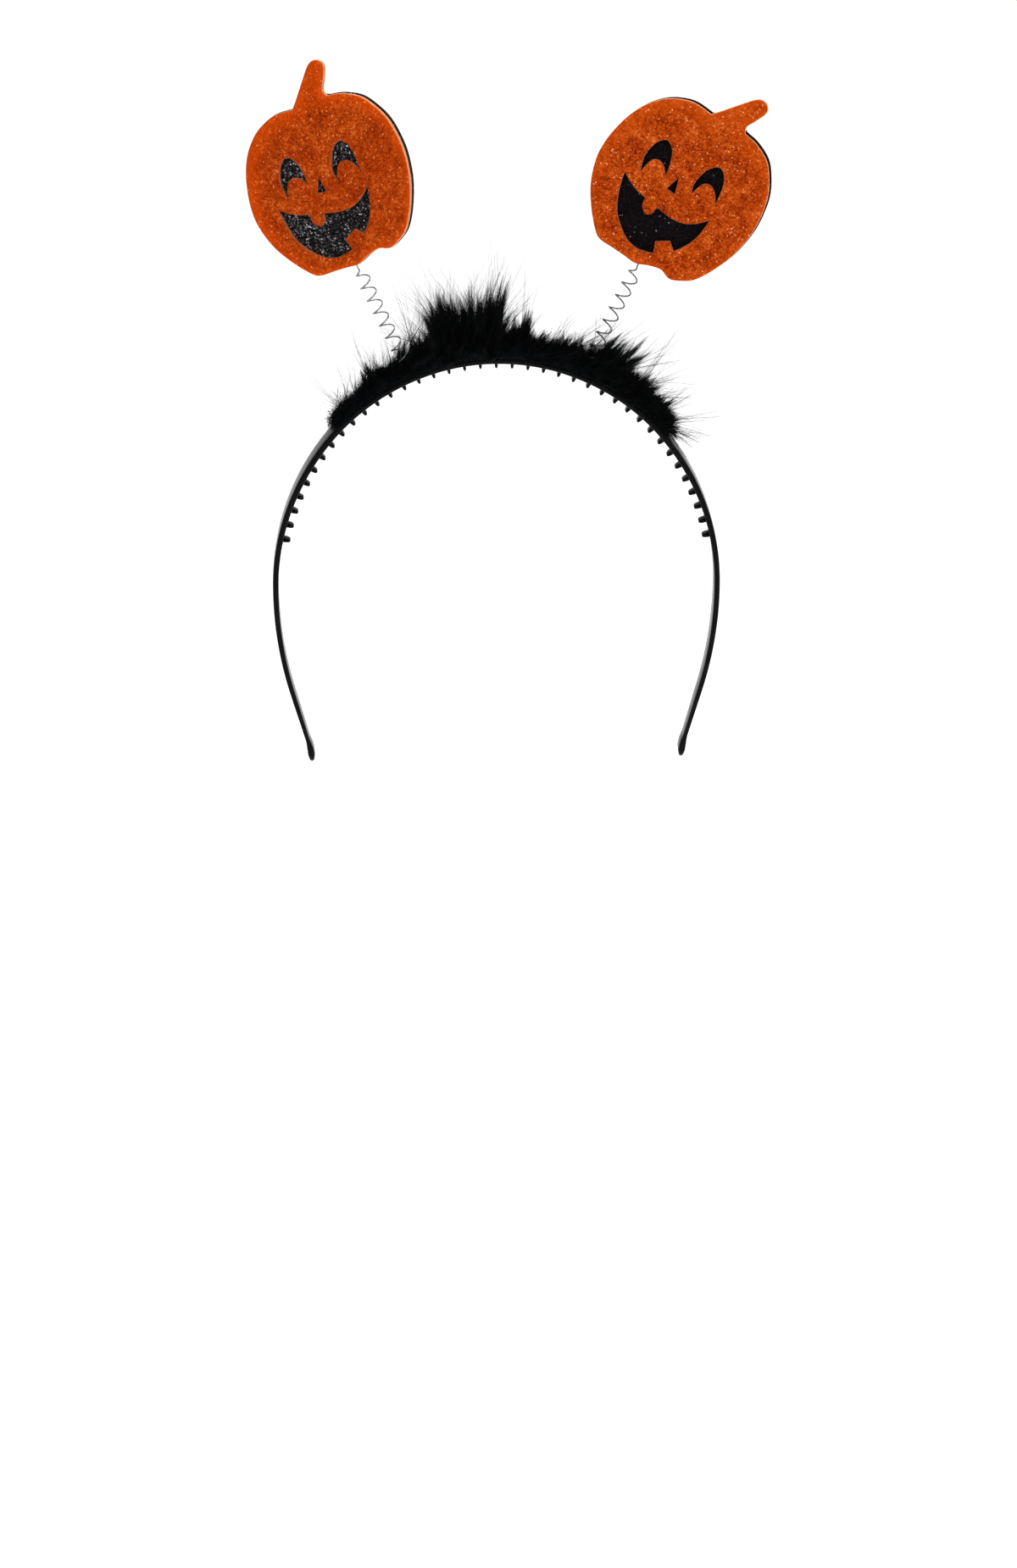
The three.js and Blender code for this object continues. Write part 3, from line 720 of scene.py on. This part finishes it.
def flat_loop(stretches, place):
    """One closed loop in the pumpkin's plane, in metres, turned and moved to its place."""
    half = np.array([PUMPKIN_WIDTH / 2, PUMPKIN_HEIGHT / 2])
    loop = np.concatenate([smooth_stretch(stretch) for stretch in stretches]) * half
    angle = math.radians(-place["turn"])
    turned = loop @ np.array([[math.cos(angle), math.sin(angle)], [-math.sin(angle), math.cos(angle)]])
    return turned + half * [place["across"], place["up"]]


def signed_area(loop):
    """Area inside a loop, positive where it turns left."""
    x, y = loop[:, 0], loop[:, 1]
    return 0.5 * float(np.sum(x * np.roll(y, -1) - y * np.roll(x, -1)))


def inward_normals(loop):
    """Ways into the foam, where the outline turns left and the openings turn right."""
    ahead = np.roll(loop, -1, axis=0) - loop
    ahead /= np.linalg.norm(ahead, axis=1)[:, None]
    both = ahead + np.roll(ahead, 1, axis=0)
    both /= np.linalg.norm(both, axis=1)[:, None] + 1e-9
    left = np.column_stack([-both[:, 1], both[:, 0]])
    return left / np.clip((both * ahead).sum(axis=1), 0.7, 1)[:, None]


def edge_distance(points, loops):
    """Distance from each flat point to the nearest side of the loops."""
    nearest = np.full(len(points), np.inf)
    for loop in loops:
        side = np.roll(loop, -1, axis=0) - loop
        away = points[:, None] - loop[None]
        share = (away * side).sum(axis=2) / (side * side).sum(axis=1)
        gap = away - side * np.clip(share, 0, 1)[:, :, None]
        nearest = np.minimum(nearest, np.sqrt((gap * gap).sum(axis=2)).min(axis=1))
    return nearest


def inside_foam(points, loops):
    """Which flat points lie within the outline and outside the openings."""
    odd = np.zeros(len(points), bool)
    for loop in loops:
        following = np.roll(loop, -1, axis=0)
        height = points[:, None, 1]
        spans = (loop[:, 1] > height) != (following[:, 1] > height)
        rise = following[:, 1] - loop[:, 1]
        rise = np.where(np.abs(rise) < 1e-12, 1e-12, rise)
        meets = loop[:, 0] + (height - loop[:, 1]) / rise * (following[:, 0] - loop[:, 0])
        odd ^= (np.sum(spans & (points[:, None, 0] < meets), axis=1) % 2).astype(bool)
    return odd


def cap_grid(loops):
    """Points in a staggered grid over the foam's face, clear of its edges."""
    low, high = loops[0].min(axis=0), loops[0].max(axis=0)
    rows = np.arange(low[1], high[1], FACE_GRID * 0.866)
    made = []
    for number, row in enumerate(rows):
        across = np.arange(low[0] + (number % 2) * FACE_GRID / 2, high[0], FACE_GRID)
        made.append(np.column_stack([across, np.full(len(across), row)]))
    grid = np.concatenate(made)
    return grid[inside_foam(grid, loops) & (edge_distance(grid, loops) > FACE_GRID * 0.45)]


def cap_triangles(flat, loops):
    """Triangles between the loops and the grid, and any points that the division adds."""
    edges = []
    first = 0
    for loop in loops:
        edges += [(first + i, first + (i + 1) % len(loop)) for i in range(len(loop))]
        first += len(loop)
    made = mathutils.geometry.delaunay_2d_cdt([mathutils.Vector(p) for p in flat], edges, [], 0, 1e-8)
    places, _, triangles, sources = made[:4]
    extra = []
    index = []
    for place, source in zip(places, sources):
        if source:
            index.append(source[0])
        else:
            index.append(len(flat) + len(extra))
            extra.append(place[:])
    corners = np.array([[index[k] for k in triangle] for triangle in triangles])
    every = np.concatenate([flat, np.array(extra).reshape(-1, 2)])
    keep = inside_foam(every[corners].mean(axis=1), loops)
    return corners[keep], np.array(extra).reshape(-1, 2)


def wall_rings(thickness, edge):
    """Insets and depths of the layer's wall, from its face to its glued side."""
    rings = [(edge * (1 - math.sin(a)), edge * (1 - math.cos(a))) for a in EDGE_ANGLES]
    rings.append((WALL_INSET, thickness / 2))
    for a in reversed(EDGE_ANGLES):
        rings.append((GLUED_EDGE * (1 - math.sin(a)), thickness - GLUED_EDGE * (1 - math.cos(a))))
    return rings


def face_depth(flat, loops, front):
    """Depth of the face, which sinks towards its edges and is softly uneven."""
    gap = edge_distance(flat, loops)
    pillow = FACE_PILLOW * np.exp(-gap / PILLOW_REACH)
    ripple = RIPPLE_DEPTH * np.sin(flat[:, 0] * 310 + 1.3) * np.sin(flat[:, 1] * 270 + 0.4)
    return front + pillow + ripple * (1 - np.exp(-gap / RIPPLE_REACH))


def rim_shares(points, gaps):
    """Share of the way across the rim colour, a painted highlight on the orange films: 0 at the outline
    and 1 inside it, the rim wider towards the light.
    """
    towards = points[:, [0, 2]] @ TOWARDS_LIGHT / (PUMPKIN_HEIGHT / 2)
    reach = RIM_REACH * (1 + RIM_GROWTH * np.clip(towards, -0.6, 1))
    return np.clip(gaps / reach, 0, 1)


def on_pumpkin(bopper, points):
    """Points of a flat layer, placed on its bopper."""
    local = points + [-bopper["entry"] * PUMPKIN_WIDTH / 2, 0, PUMPKIN_HEIGHT / 2]
    _, _, pumpkin, tip = bopper_frames(bopper)
    roll = turn_y(math.radians(-bopper["sign"] * bopper["roll"]))
    return tip + local @ roll.T @ pumpkin.T


def foam_layer(name, loops, front, thickness, edge, bopper, materials):
    """A die-cut foam layer: finely meshed face, front edge, cut walls and a flat back."""
    loops = [loop if (signed_area(loop) > 0) == (i == 0) else loop[::-1] for i, loop in enumerate(loops)]
    ways = [inward_normals(loop) for loop in loops]
    rings = wall_rings(thickness, edge)
    inner = [loop + way * rings[0][0] for loop, way in zip(loops, ways)]
    border = np.concatenate(inner)
    flat = np.concatenate([border, cap_grid(inner)])
    triangles, extra = cap_triangles(flat, inner)
    flat = np.concatenate([flat, extra])
    near = edge_distance(flat, loops[:1])
    points = [np.column_stack([flat[:, 0], face_depth(flat, loops, front), flat[:, 1]])]
    gaps = [near]
    faces = [tuple(triangle) for triangle in triangles]
    kinds = [FILM] * len(faces)
    total = len(flat)
    first = 0
    last_ring = np.zeros(len(border), int)
    for number, (loop, way) in enumerate(zip(loops, ways)):
        count = len(loop)
        wall = OPENING_WALL if number else OUTER_WALL
        previous = np.arange(first, first + count)
        for step, (inset, down) in enumerate(rings[1:]):
            ring = loop + way * inset
            sink = FACE_PILLOW if step < len(EDGE_ANGLES) - 1 else 0
            points.append(np.column_stack([ring[:, 0], np.full(count, front + down + sink), ring[:, 1]]))
            gaps.append(edge_distance(ring, loops[:1]))
            current = np.arange(total, total + count)
            total += count
            for i in range(count):
                j = (i + 1) % count
                faces.append((previous[i], current[i], current[j], previous[j]))
            kinds += [FILM if step < FILM_STEPS else wall] * count
            previous = current
        last_ring[first:first + count] = previous
        first += count
    within = flat[len(border):]
    points.append(np.column_stack([within[:, 0], np.full(len(within), front + thickness), within[:, 1]]))
    gaps.append(near[len(border):])
    back_index = np.concatenate([last_ring, np.arange(total, total + len(within))])
    for a, b, c in triangles:
        faces.append((back_index[c], back_index[b], back_index[a]))
        kinds.append(OUTER_WALL)
    points = np.concatenate(points)
    placed = on_pumpkin(bopper, points)
    layer = mesh_piece(name, placed, faces, materials, bopper["side"] + "_pumpkin")
    layer.data.polygons.foreach_set("material_index", kinds)
    rim = layer.data.attributes.new("rim", "FLOAT", "POINT")
    rim.data.foreach_set("value", rim_shares(points, np.concatenate(gaps)))
    return layer


def build_pumpkin(bopper, front_materials, back_materials):
    """The orange layer with the face cut through it and the black layer behind it."""
    side = bopper["side"]
    outline = flat_loop(PUMPKIN_OUTLINE, FRONT_PLACE)
    openings = [flat_loop(opening, bopper["face"]) for opening in FACE_OPENINGS]
    front = foam_layer(
        side + "_glitter_face", [outline, *openings], GLUE_PLANE - FACE_LAYER, FACE_LAYER,
        FOAM_EDGE, bopper, front_materials,
    )
    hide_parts(side + "_pumpkin_front")
    backing = flat_loop([BACKING_STEM, *PUMPKIN_OUTLINE[1:]], bopper["backing"])
    back = foam_layer(
        side + "_glitter_backing", [backing], GLUE_PLANE, BACK_LAYER,
        GLUED_EDGE, bopper, back_materials,
    )
    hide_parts(side + "_pumpkin_back")


def trim_arc(along):
    """Arc length along the band at a place of the trim."""
    return np.where(along < 0, along * TRIM_REACH_LEFT, along * TRIM_REACH_RIGHT)


def core_rise(along):
    """Height of the trim's core over the band."""
    return CORE_RISE * TRIM_HEIGHT * table_column(TRIM_PROFILE, 1, along)


def build_fur_core(material):
    """The dense heart of the trim, a saddle over the band."""
    angles = np.linspace(0, math.pi, CORE_SIDES // 2)
    under = -np.linspace(1, -1, CORE_SIDES // 2)[1:-1] * BAND_WIDTH / 2 * 1.02
    rings = []
    for place in np.linspace(-1, 1, CORE_STATIONS):
        spread = TRIM_SPREAD * CORE_SPREAD * math.sqrt(max(0.12, 1 - place ** 6))
        across = np.concatenate([spread * np.cos(angles), under])
        over = CORE_LIFT + float(core_rise(place)) * np.sin(angles)
        lift = BAND_THICKNESS / 2 + np.concatenate([over, np.full(len(under), BAND_GAP)])
        rings.append(beside_band(np.full(len(across), float(trim_arc(place))), across, lift))
    faces = ring_faces(len(rings), len(rings[0]))
    core = mesh_piece("feather_core", np.concatenate(rings), faces, [material], "headband")
    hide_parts("feather_trim")


def ribbons(lines, widths, rng):
    """Tapered ribbons along lines of points, as (points, triangles)."""
    count, rows = len(lines), lines.shape[1] - 1
    shares = np.linspace(0, 1, rows + 1)
    ahead = np.gradient(lines, axis=1)
    side = unit(np.cross(ahead, rng.normal(size=(count, 1, 3))))
    half = widths[:, None] / 2 * (1 - 0.7 * shares[None, :])
    left = lines[:, :-1] + side[:, :-1] * half[:, :-1, None]
    right = lines[:, :-1] - side[:, :-1] * half[:, :-1, None]
    points = np.concatenate([left, right, lines[:, -1:]], axis=1)
    pattern = []
    for i in range(rows - 1):
        pattern.append((i, rows + i, i + 1))
        pattern.append((i + 1, rows + i, rows + i + 1))
    pattern.append((rows - 1, 2 * rows - 1, 2 * rows))
    faces = np.array(pattern)[None] + (np.arange(count) * (2 * rows + 1))[:, None, None]
    return points.reshape(-1, 3), faces.reshape(-1, 3)


def lift_off_band(points, arcs):
    """Keeps barbs out of the band, above its shown front edge and within the fur's depth."""
    heading = band_heading(arcs)
    up = np.stack([np.sin(heading), np.zeros_like(heading), np.cos(heading)], axis=-1)
    middle = beside_band(arcs, np.zeros_like(arcs), np.zeros_like(arcs))
    out = ((points - middle[:, None]) * up[:, None]).sum(axis=2)
    over_side = np.clip(np.abs(points[:, :, 1]) - BAND_WIDTH / 2, 0, None)
    inside = np.abs(points[:, :, 1]) < BAND_WIDTH / 2 + SIDE_MARGIN
    beside = -BAND_THICKNESS / 2 + EDGE_GAP + 0.5 * over_side
    least = np.where(inside, BAND_THICKNESS / 2 + BAND_GAP, beside)
    points = points + np.clip(least - out, 0, None)[:, :, None] * up[:, None]
    beyond = np.clip(np.abs(points[:, :, 1]) - FUR_DEPTH, 0, None)
    inward = beyond - FUR_FRINGE * np.tanh(beyond / FUR_FRINGE)
    points[:, :, 1] -= np.sign(points[:, :, 1]) * inward
    return points


def unit(vectors):
    """Vectors of length 1."""
    return vectors / (np.linalg.norm(vectors, axis=-1, keepdims=True) + 1e-12)


def outward_ways(arcs, splay, lean):
    """Ways out of the band at arcs, splayed off its middle plane and leaning along it."""
    heading = band_heading(arcs) + lean
    level = np.cos(splay)
    return np.stack([np.sin(heading) * level, np.sin(splay), np.cos(heading) * level], axis=1)


def lock_roots(arcs, splay):
    """Where locks grow from the band."""
    return beside_band(arcs, ROOT_SPREAD * BAND_WIDTH / 2 * np.sin(splay), BAND_THICKNESS / 2 + ROOT_LIFT)


def tuft_locks(rng, count, extra=0.0):
    """Arcs, roots, ways, bends and lengths of locks that fan out of the tufts."""
    along, reach, lean, fan = np.array(TUFTS).T
    share = reach * np.sqrt(fan)
    tuft = rng.choice(len(TUFTS), count, p=share / share.sum())
    off = rng.normal(0, 1, count)
    splay = np.radians(np.clip(rng.normal(0, 24, count), -60, 60))
    arcs = trim_arc(along[tuft]) + 0.00007 * off * fan[tuft] + rng.normal(0, 0.0009, count)
    way = outward_ways(arcs, splay, np.radians(lean[tuft] + off * fan[tuft]))
    middle = outward_ways(arcs, splay, np.radians(lean[tuft]))
    bend = 0.7 * (way - middle) + rng.normal(0, 0.12, (count, 3))
    length = TRIM_HEIGHT * reach[tuft] * rng.uniform(0.6, 1.06, count) * np.cos(1.1 * splay)
    length = length * (1 - 0.22 * np.clip(off * off / 4, 0, 1)) + extra
    return arcs, lock_roots(arcs, splay), way, bend, length


def low_locks(rng, count):
    """The same for the low plumes all round the band."""
    along = rng.uniform(-1, 1, count)
    arcs = trim_arc(along)
    splay = np.radians(rng.uniform(-80, 80, count))
    reach = table_column(LOW_SPLAY, 1, np.degrees(splay))
    height = TRIM_HEIGHT * table_column(TRIM_PROFILE, 1, along)
    length = height * reach * rng.uniform(0.7, 1.2, count) + LOW_LEAST
    way = outward_ways(arcs, splay, np.radians(rng.normal(6, 20, count)))
    bend = rng.normal(0, 0.25, (count, 3))
    return arcs, lock_roots(arcs, splay), way, bend, length


def lock_barbs(rng):
    """Barbs that gather into pointed locks."""
    groups = zip(tuft_locks(rng, LOCKS), low_locks(rng, LOW_LOCKS))
    arcs, root, way, bend, length = (np.concatenate(pair) for pair in groups)
    lock = np.repeat(np.arange(len(arcs)), BARBS_PER_LOCK)
    count = len(lock)
    thick = (LOCK_RADIUS * rng.uniform(0.6, 1.25, len(arcs)))[lock]
    begin = rng.uniform(0.0, 0.6, count)
    finish = begin + (1.03 - begin) * rng.uniform(0.35, 1.0, count) ** 0.8
    shares = begin[:, None] + (finish - begin)[:, None] * np.linspace(0, 1, BARB_ROWS + 1)[None]
    reach = (shares * length[lock][:, None])[:, :, None]
    lines = root[lock][:, None] + way[lock][:, None] * reach
    lines = lines + bend[lock][:, None] * (shares ** 2 * length[lock][:, None] * 0.5)[:, :, None]
    gathered = rng.normal(0, 1, (count, 1, 3)) * (thick[:, None] * (1.05 - shares) ** 1.2)[:, :, None]
    stray = rng.normal(0, 1, (count, 1, 3)) * (STRAY_REACH * (shares - begin[:, None]) ** 2)[:, :, None]
    loose = (rng.uniform(0, 1, count) < LOOSE_SHARE)[:, None, None]
    lines = lines + gathered + np.where(loose, stray, 0.08 * stray)
    widths = BARB_WIDTH * rng.uniform(0.6, 1.25, count)
    return lines, widths, arcs[lock]


def wisp_barbs(rng):
    """Long hairs that stray beyond the tufts in small groups."""
    group = np.repeat(np.arange(WISPS), HAIRS_PER_WISP)
    count = len(group)
    arcs, root, way, bend, length = (part[group] for part in tuft_locks(rng, WISPS, extra=0.0015))
    stray = rng.normal(0, [0.20, 0.13, 0.16], (WISPS, 3))[group]
    way = unit(way + stray + rng.normal(0, 0.05, (count, 3)))
    bend = bend + 1.3 * stray + rng.normal(0, 0.12, (count, 3))
    longer = (WISP_REACH * rng.uniform(0, 1, WISPS) ** 1.7)[group]
    length = (length * 0.9 + longer) * rng.uniform(0.72, 1.0, count)
    root = root + rng.normal(0, 0.0004, (count, 3))
    shares = np.linspace(0.3, 1, WISP_ROWS)[None]
    lines = root[:, None] + way[:, None] * (shares * length[:, None])[:, :, None]
    lines = lines + bend[:, None] * (shares ** 2 * length[:, None] * 0.5)[:, :, None]
    return lines, BARB_WIDTH * rng.uniform(0.7, 1.2, count), arcs


def down_barbs(rng):
    """Short down all over the saddle."""
    chosen = rng.uniform(-1, 1, DOWN)
    arcs = trim_arc(chosen)
    splay = np.radians(rng.uniform(-85, 85, DOWN))
    over = BAND_THICKNESS / 2 + core_rise(chosen) * np.cos(splay)
    roots = beside_band(arcs, DOWN_SPREAD * TRIM_SPREAD * np.sin(splay), over)
    way = outward_ways(arcs, splay, np.zeros(DOWN))
    first = unit(way + 0.6 * rng.normal(size=(DOWN, 3)))
    bend = 0.6 * rng.normal(size=(DOWN, 3))
    shares = np.linspace(0, 1, DOWN_ROWS)[None]
    length = rng.uniform(*DOWN_LENGTHS, DOWN)[:, None]
    lines = roots[:, None] + first[:, None] * (shares * length)[:, :, None]
    lines = lines + bend[:, None] * (shares ** 2 * length * 0.5)[:, :, None]
    return lines, BARB_WIDTH * rng.uniform(0.9, 1.5, DOWN), arcs


def build_fur(material):
    """Locks, wisps and down, each piece a mesh of ribbons."""
    rng = np.random.default_rng(FUR_SEED)
    lines, widths, arcs = lock_barbs(rng)
    groups = []
    for part in np.array_split(rng.permutation(len(lines)), LOCK_PIECES):
        groups.append((lines[part], widths[part], arcs[part]))
    groups.append(wisp_barbs(rng))
    groups.append(down_barbs(rng))
    names = [f"feather_locks_{i + 1}" for i in range(LOCK_PIECES)] + ["feather_wisps", "feather_down"]
    for name, (lines, widths, arcs) in zip(names, groups):
        points, faces = ribbons(lift_off_band(lines, arcs), widths, rng)
        mesh_piece(name, points, faces, [material], "headband")


def add_camera():
    """The camera of the front view."""
    azimuth, elevation = math.radians(CAMERA_AZIMUTH), math.radians(CAMERA_ELEVATION)
    back = np.array([
        math.sin(azimuth) * math.cos(elevation),
        -math.cos(azimuth) * math.cos(elevation),
        math.sin(elevation),
    ])
    data = bpy.data.cameras.new("camera")
    data.lens = CAMERA_LENS
    data.clip_end = CAMERA_SIGHT
    camera = bpy.data.objects.new("camera", data)
    camera.location = np.array(CAMERA_AIM) + back * CAMERA_DISTANCE
    camera.rotation_euler = (math.radians(90 - CAMERA_ELEVATION), 0, azimuth)
    bpy.context.scene.collection.objects.link(camera)
    bpy.context.scene.camera = camera


def add_softbox(name, place, width, power):
    """A round soft light aimed at the crown."""
    data = bpy.data.lights.new(name, "AREA")
    data.shape = "DISK"
    data.size = width
    data.energy = power
    lamp = bpy.data.objects.new(name, data)
    lamp.location = place
    way = -np.array(place)
    flat = math.hypot(way[0], way[1])
    lamp.rotation_euler = (math.atan2(flat, -way[2]), 0, math.atan2(-way[0], way[1]))
    bpy.context.scene.collection.objects.link(lamp)


def add_floor():
    """A plain pale floor far below."""
    material, _, _, shader = new_material("floor")
    shader.inputs["Base Color"].default_value = (0.92, 0.92, 0.92, 1)
    shader.inputs["Roughness"].default_value = 0.9
    shader.inputs["Emission Color"].default_value = (1, 1, 1, 1)
    shader.inputs["Emission Strength"].default_value = 0.45
    signs = ((-1, -1), (1, -1), (1, 1), (-1, 1))
    corners = [(x * FLOOR_REACH, y * FLOOR_REACH, FLOOR_HEIGHT) for x, y in signs]
    mesh = bpy.data.meshes.new("floor")
    mesh.from_pydata(corners, [], [(0, 1, 2, 3)])
    mesh.materials.append(material)
    floor = bpy.data.objects.new("floor", mesh)
    bpy.context.scene.collection.objects.link(floor)


def add_studio():
    """The floor, an even white room and the soft lights."""
    add_floor()
    world = bpy.data.worlds.new("room")
    world.use_nodes = True
    background = world.node_tree.nodes["Background"]
    background.inputs["Color"].default_value = (1, 1, 1, 1)
    background.inputs["Strength"].default_value = 0.55
    bpy.context.scene.world = world
    bpy.context.scene.view_settings.view_transform = "Standard"
    for softbox in SOFTBOXES:
        add_softbox(*softbox)


def dress_seat(seat, material):
    """Gives the seat of a spring, which stays as packed, its material."""
    seat.data.materials.clear()
    seat.data.materials.append(material)


# Glitter films: colour stops of the flakes, their width, and how much each thing counts. The patches are
# painted light and shade, the sparkle colour paints glints, and the rim colour is a painted highlight on
# the orange films and a plain dark tone on the black ones
LEFT_ORANGE = {
    "stops": [
        (0.28, (0.17, 0.013, 0.0002)),
        (0.42, (0.28, 0.027, 0.0006)),
        (0.54, (0.36, 0.038, 0.0010)),
        (0.66, (0.45, 0.066, 0.0050)),
        (0.80, (0.60, 0.14, 0.025)),
    ],
    # Painted light: patches of light and shade, a highlight along the rim and glints in the sparkle
    # colour.
    "flake": 0.00042, "flake_tint": 0.30, "light_and_shade_patches": 0.26,
    "rim": (0.64, 0.062, 0.0004), "rim_share": 0.62,
    "painted_glint_share": 0.035, "painted_glint_colour": (0.80, 0.22, 0.06),
    "tilt": 0.5, "roughness": (0.30, 0.62), "metallic": 0.35, "specular": 0.03,
}
RIGHT_ORANGE = {
    **LEFT_ORANGE,
    "stops": [
        (0.28, (0.16, 0.011, 0.0002)),
        (0.42, (0.29, 0.028, 0.0006)),
        (0.54, (0.40, 0.046, 0.0014)),
        (0.66, (0.50, 0.076, 0.0060)),
        (0.80, (0.62, 0.15, 0.032)),
    ],
    # Painted light as on the left film: patches, glints and the highlight along the rim.
    "flake_tint": 0.33, "light_and_shade_patches": 0.27, "painted_glint_share": 0.04, "painted_glint_colour": (0.86, 0.30, 0.11),
    "rim": (0.56, 0.066, 0.001), "rim_share": 0.5,
}
CHARCOAL = {
    "stops": [
        (0.30, (0.0025, 0.0018, 0.0018)),
        (0.55, (0.009, 0.007, 0.007)),
        (0.72, (0.032, 0.030, 0.032)),
        (0.86, (0.16, 0.155, 0.16)),
    ],
    # Painted light: patches of light and shade and glints in the sparkle colour; the rim colour is a
    # plain dark tone.
    "flake": 0.00040, "flake_tint": 0.62, "light_and_shade_patches": 0.25,
    "rim": (0.006, 0.005, 0.005), "rim_share": 0.9,
    "painted_glint_share": 0.07, "painted_glint_colour": (0.45, 0.46, 0.50),
    "tilt": 0.5, "roughness": (0.3, 0.7), "metallic": 0.3, "specular": 0.04,
}
BLACK = {
    **CHARCOAL,
    "stops": [
        (0.30, (0.0020, 0.0008, 0.0010)),
        (0.70, (0.0055, 0.0030, 0.0042)),
        (0.90, (0.014, 0.010, 0.014)),
    ],
    # Painted glints, fewer than on the charcoal film.
    "painted_glint_share": 0.012, "painted_glint_colour": (0.20, 0.22, 0.28),
}

# Cut foam: the orange layer's wall, the walls of its openings, painted darker than the outer wall as
# painted shade inside the openings, and the black layer's wall
PEACH_STOPS = [(0.3, (0.58, 0.21, 0.09)), (0.7, (0.76, 0.36, 0.20))]
SHADED_OPENING_STOPS = [(0.3, (0.28, 0.075, 0.028)), (0.7, (0.46, 0.16, 0.08))]
DARK_FOAM_STOPS = [(0.3, (0.004, 0.0022, 0.0018)), (0.7, (0.013, 0.0075, 0.0055))]

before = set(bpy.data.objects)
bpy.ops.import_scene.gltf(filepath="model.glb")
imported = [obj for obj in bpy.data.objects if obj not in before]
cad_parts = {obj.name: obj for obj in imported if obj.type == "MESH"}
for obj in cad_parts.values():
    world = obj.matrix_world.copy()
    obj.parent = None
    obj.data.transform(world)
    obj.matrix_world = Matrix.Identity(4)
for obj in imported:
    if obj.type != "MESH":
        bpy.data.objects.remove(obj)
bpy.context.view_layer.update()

plastic = plastic_material("black_plastic")
feather = feather_material("black_marabou")
# One steel for both springs; the left copy is painted lighter, a painted highlight.
steel = {
    "left": steel_material("left_spring_steel_lit", 0.12, 0.38),
    "right": steel_material("right_spring_steel", 0.09, 0.22),
}
glue = glue_material("seat_glue")
orange_wall = foam_material("orange_foam_wall", PEACH_STOPS)
# The same orange foam painted darker inside the openings: painted shade.
shaded_opening_wall = foam_material("orange_foam_opening_shaded", SHADED_OPENING_STOPS)
black_wall = foam_material("black_foam_wall", DARK_FOAM_STOPS)
looks = {
    "left": (LEFT_ORANGE, CHARCOAL),
    "right": (RIGHT_ORANGE, BLACK),
}

build_band(plastic)
build_fur_core(feather)
build_fur(feather)
for bopper in BOPPERS:
    side = bopper["side"]
    face, backing = looks[side]
    build_spring(bopper, steel[side])
    face_film = glitter_material(side + "_orange_glitter", face)
    backing_film = glitter_material(side + "_black_glitter", backing)
    build_pumpkin(bopper, [face_film, orange_wall, shaded_opening_wall], [backing_film, black_wall])
    dress_seat(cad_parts[side + "_spring_seat"], glue)
add_camera()
add_studio()
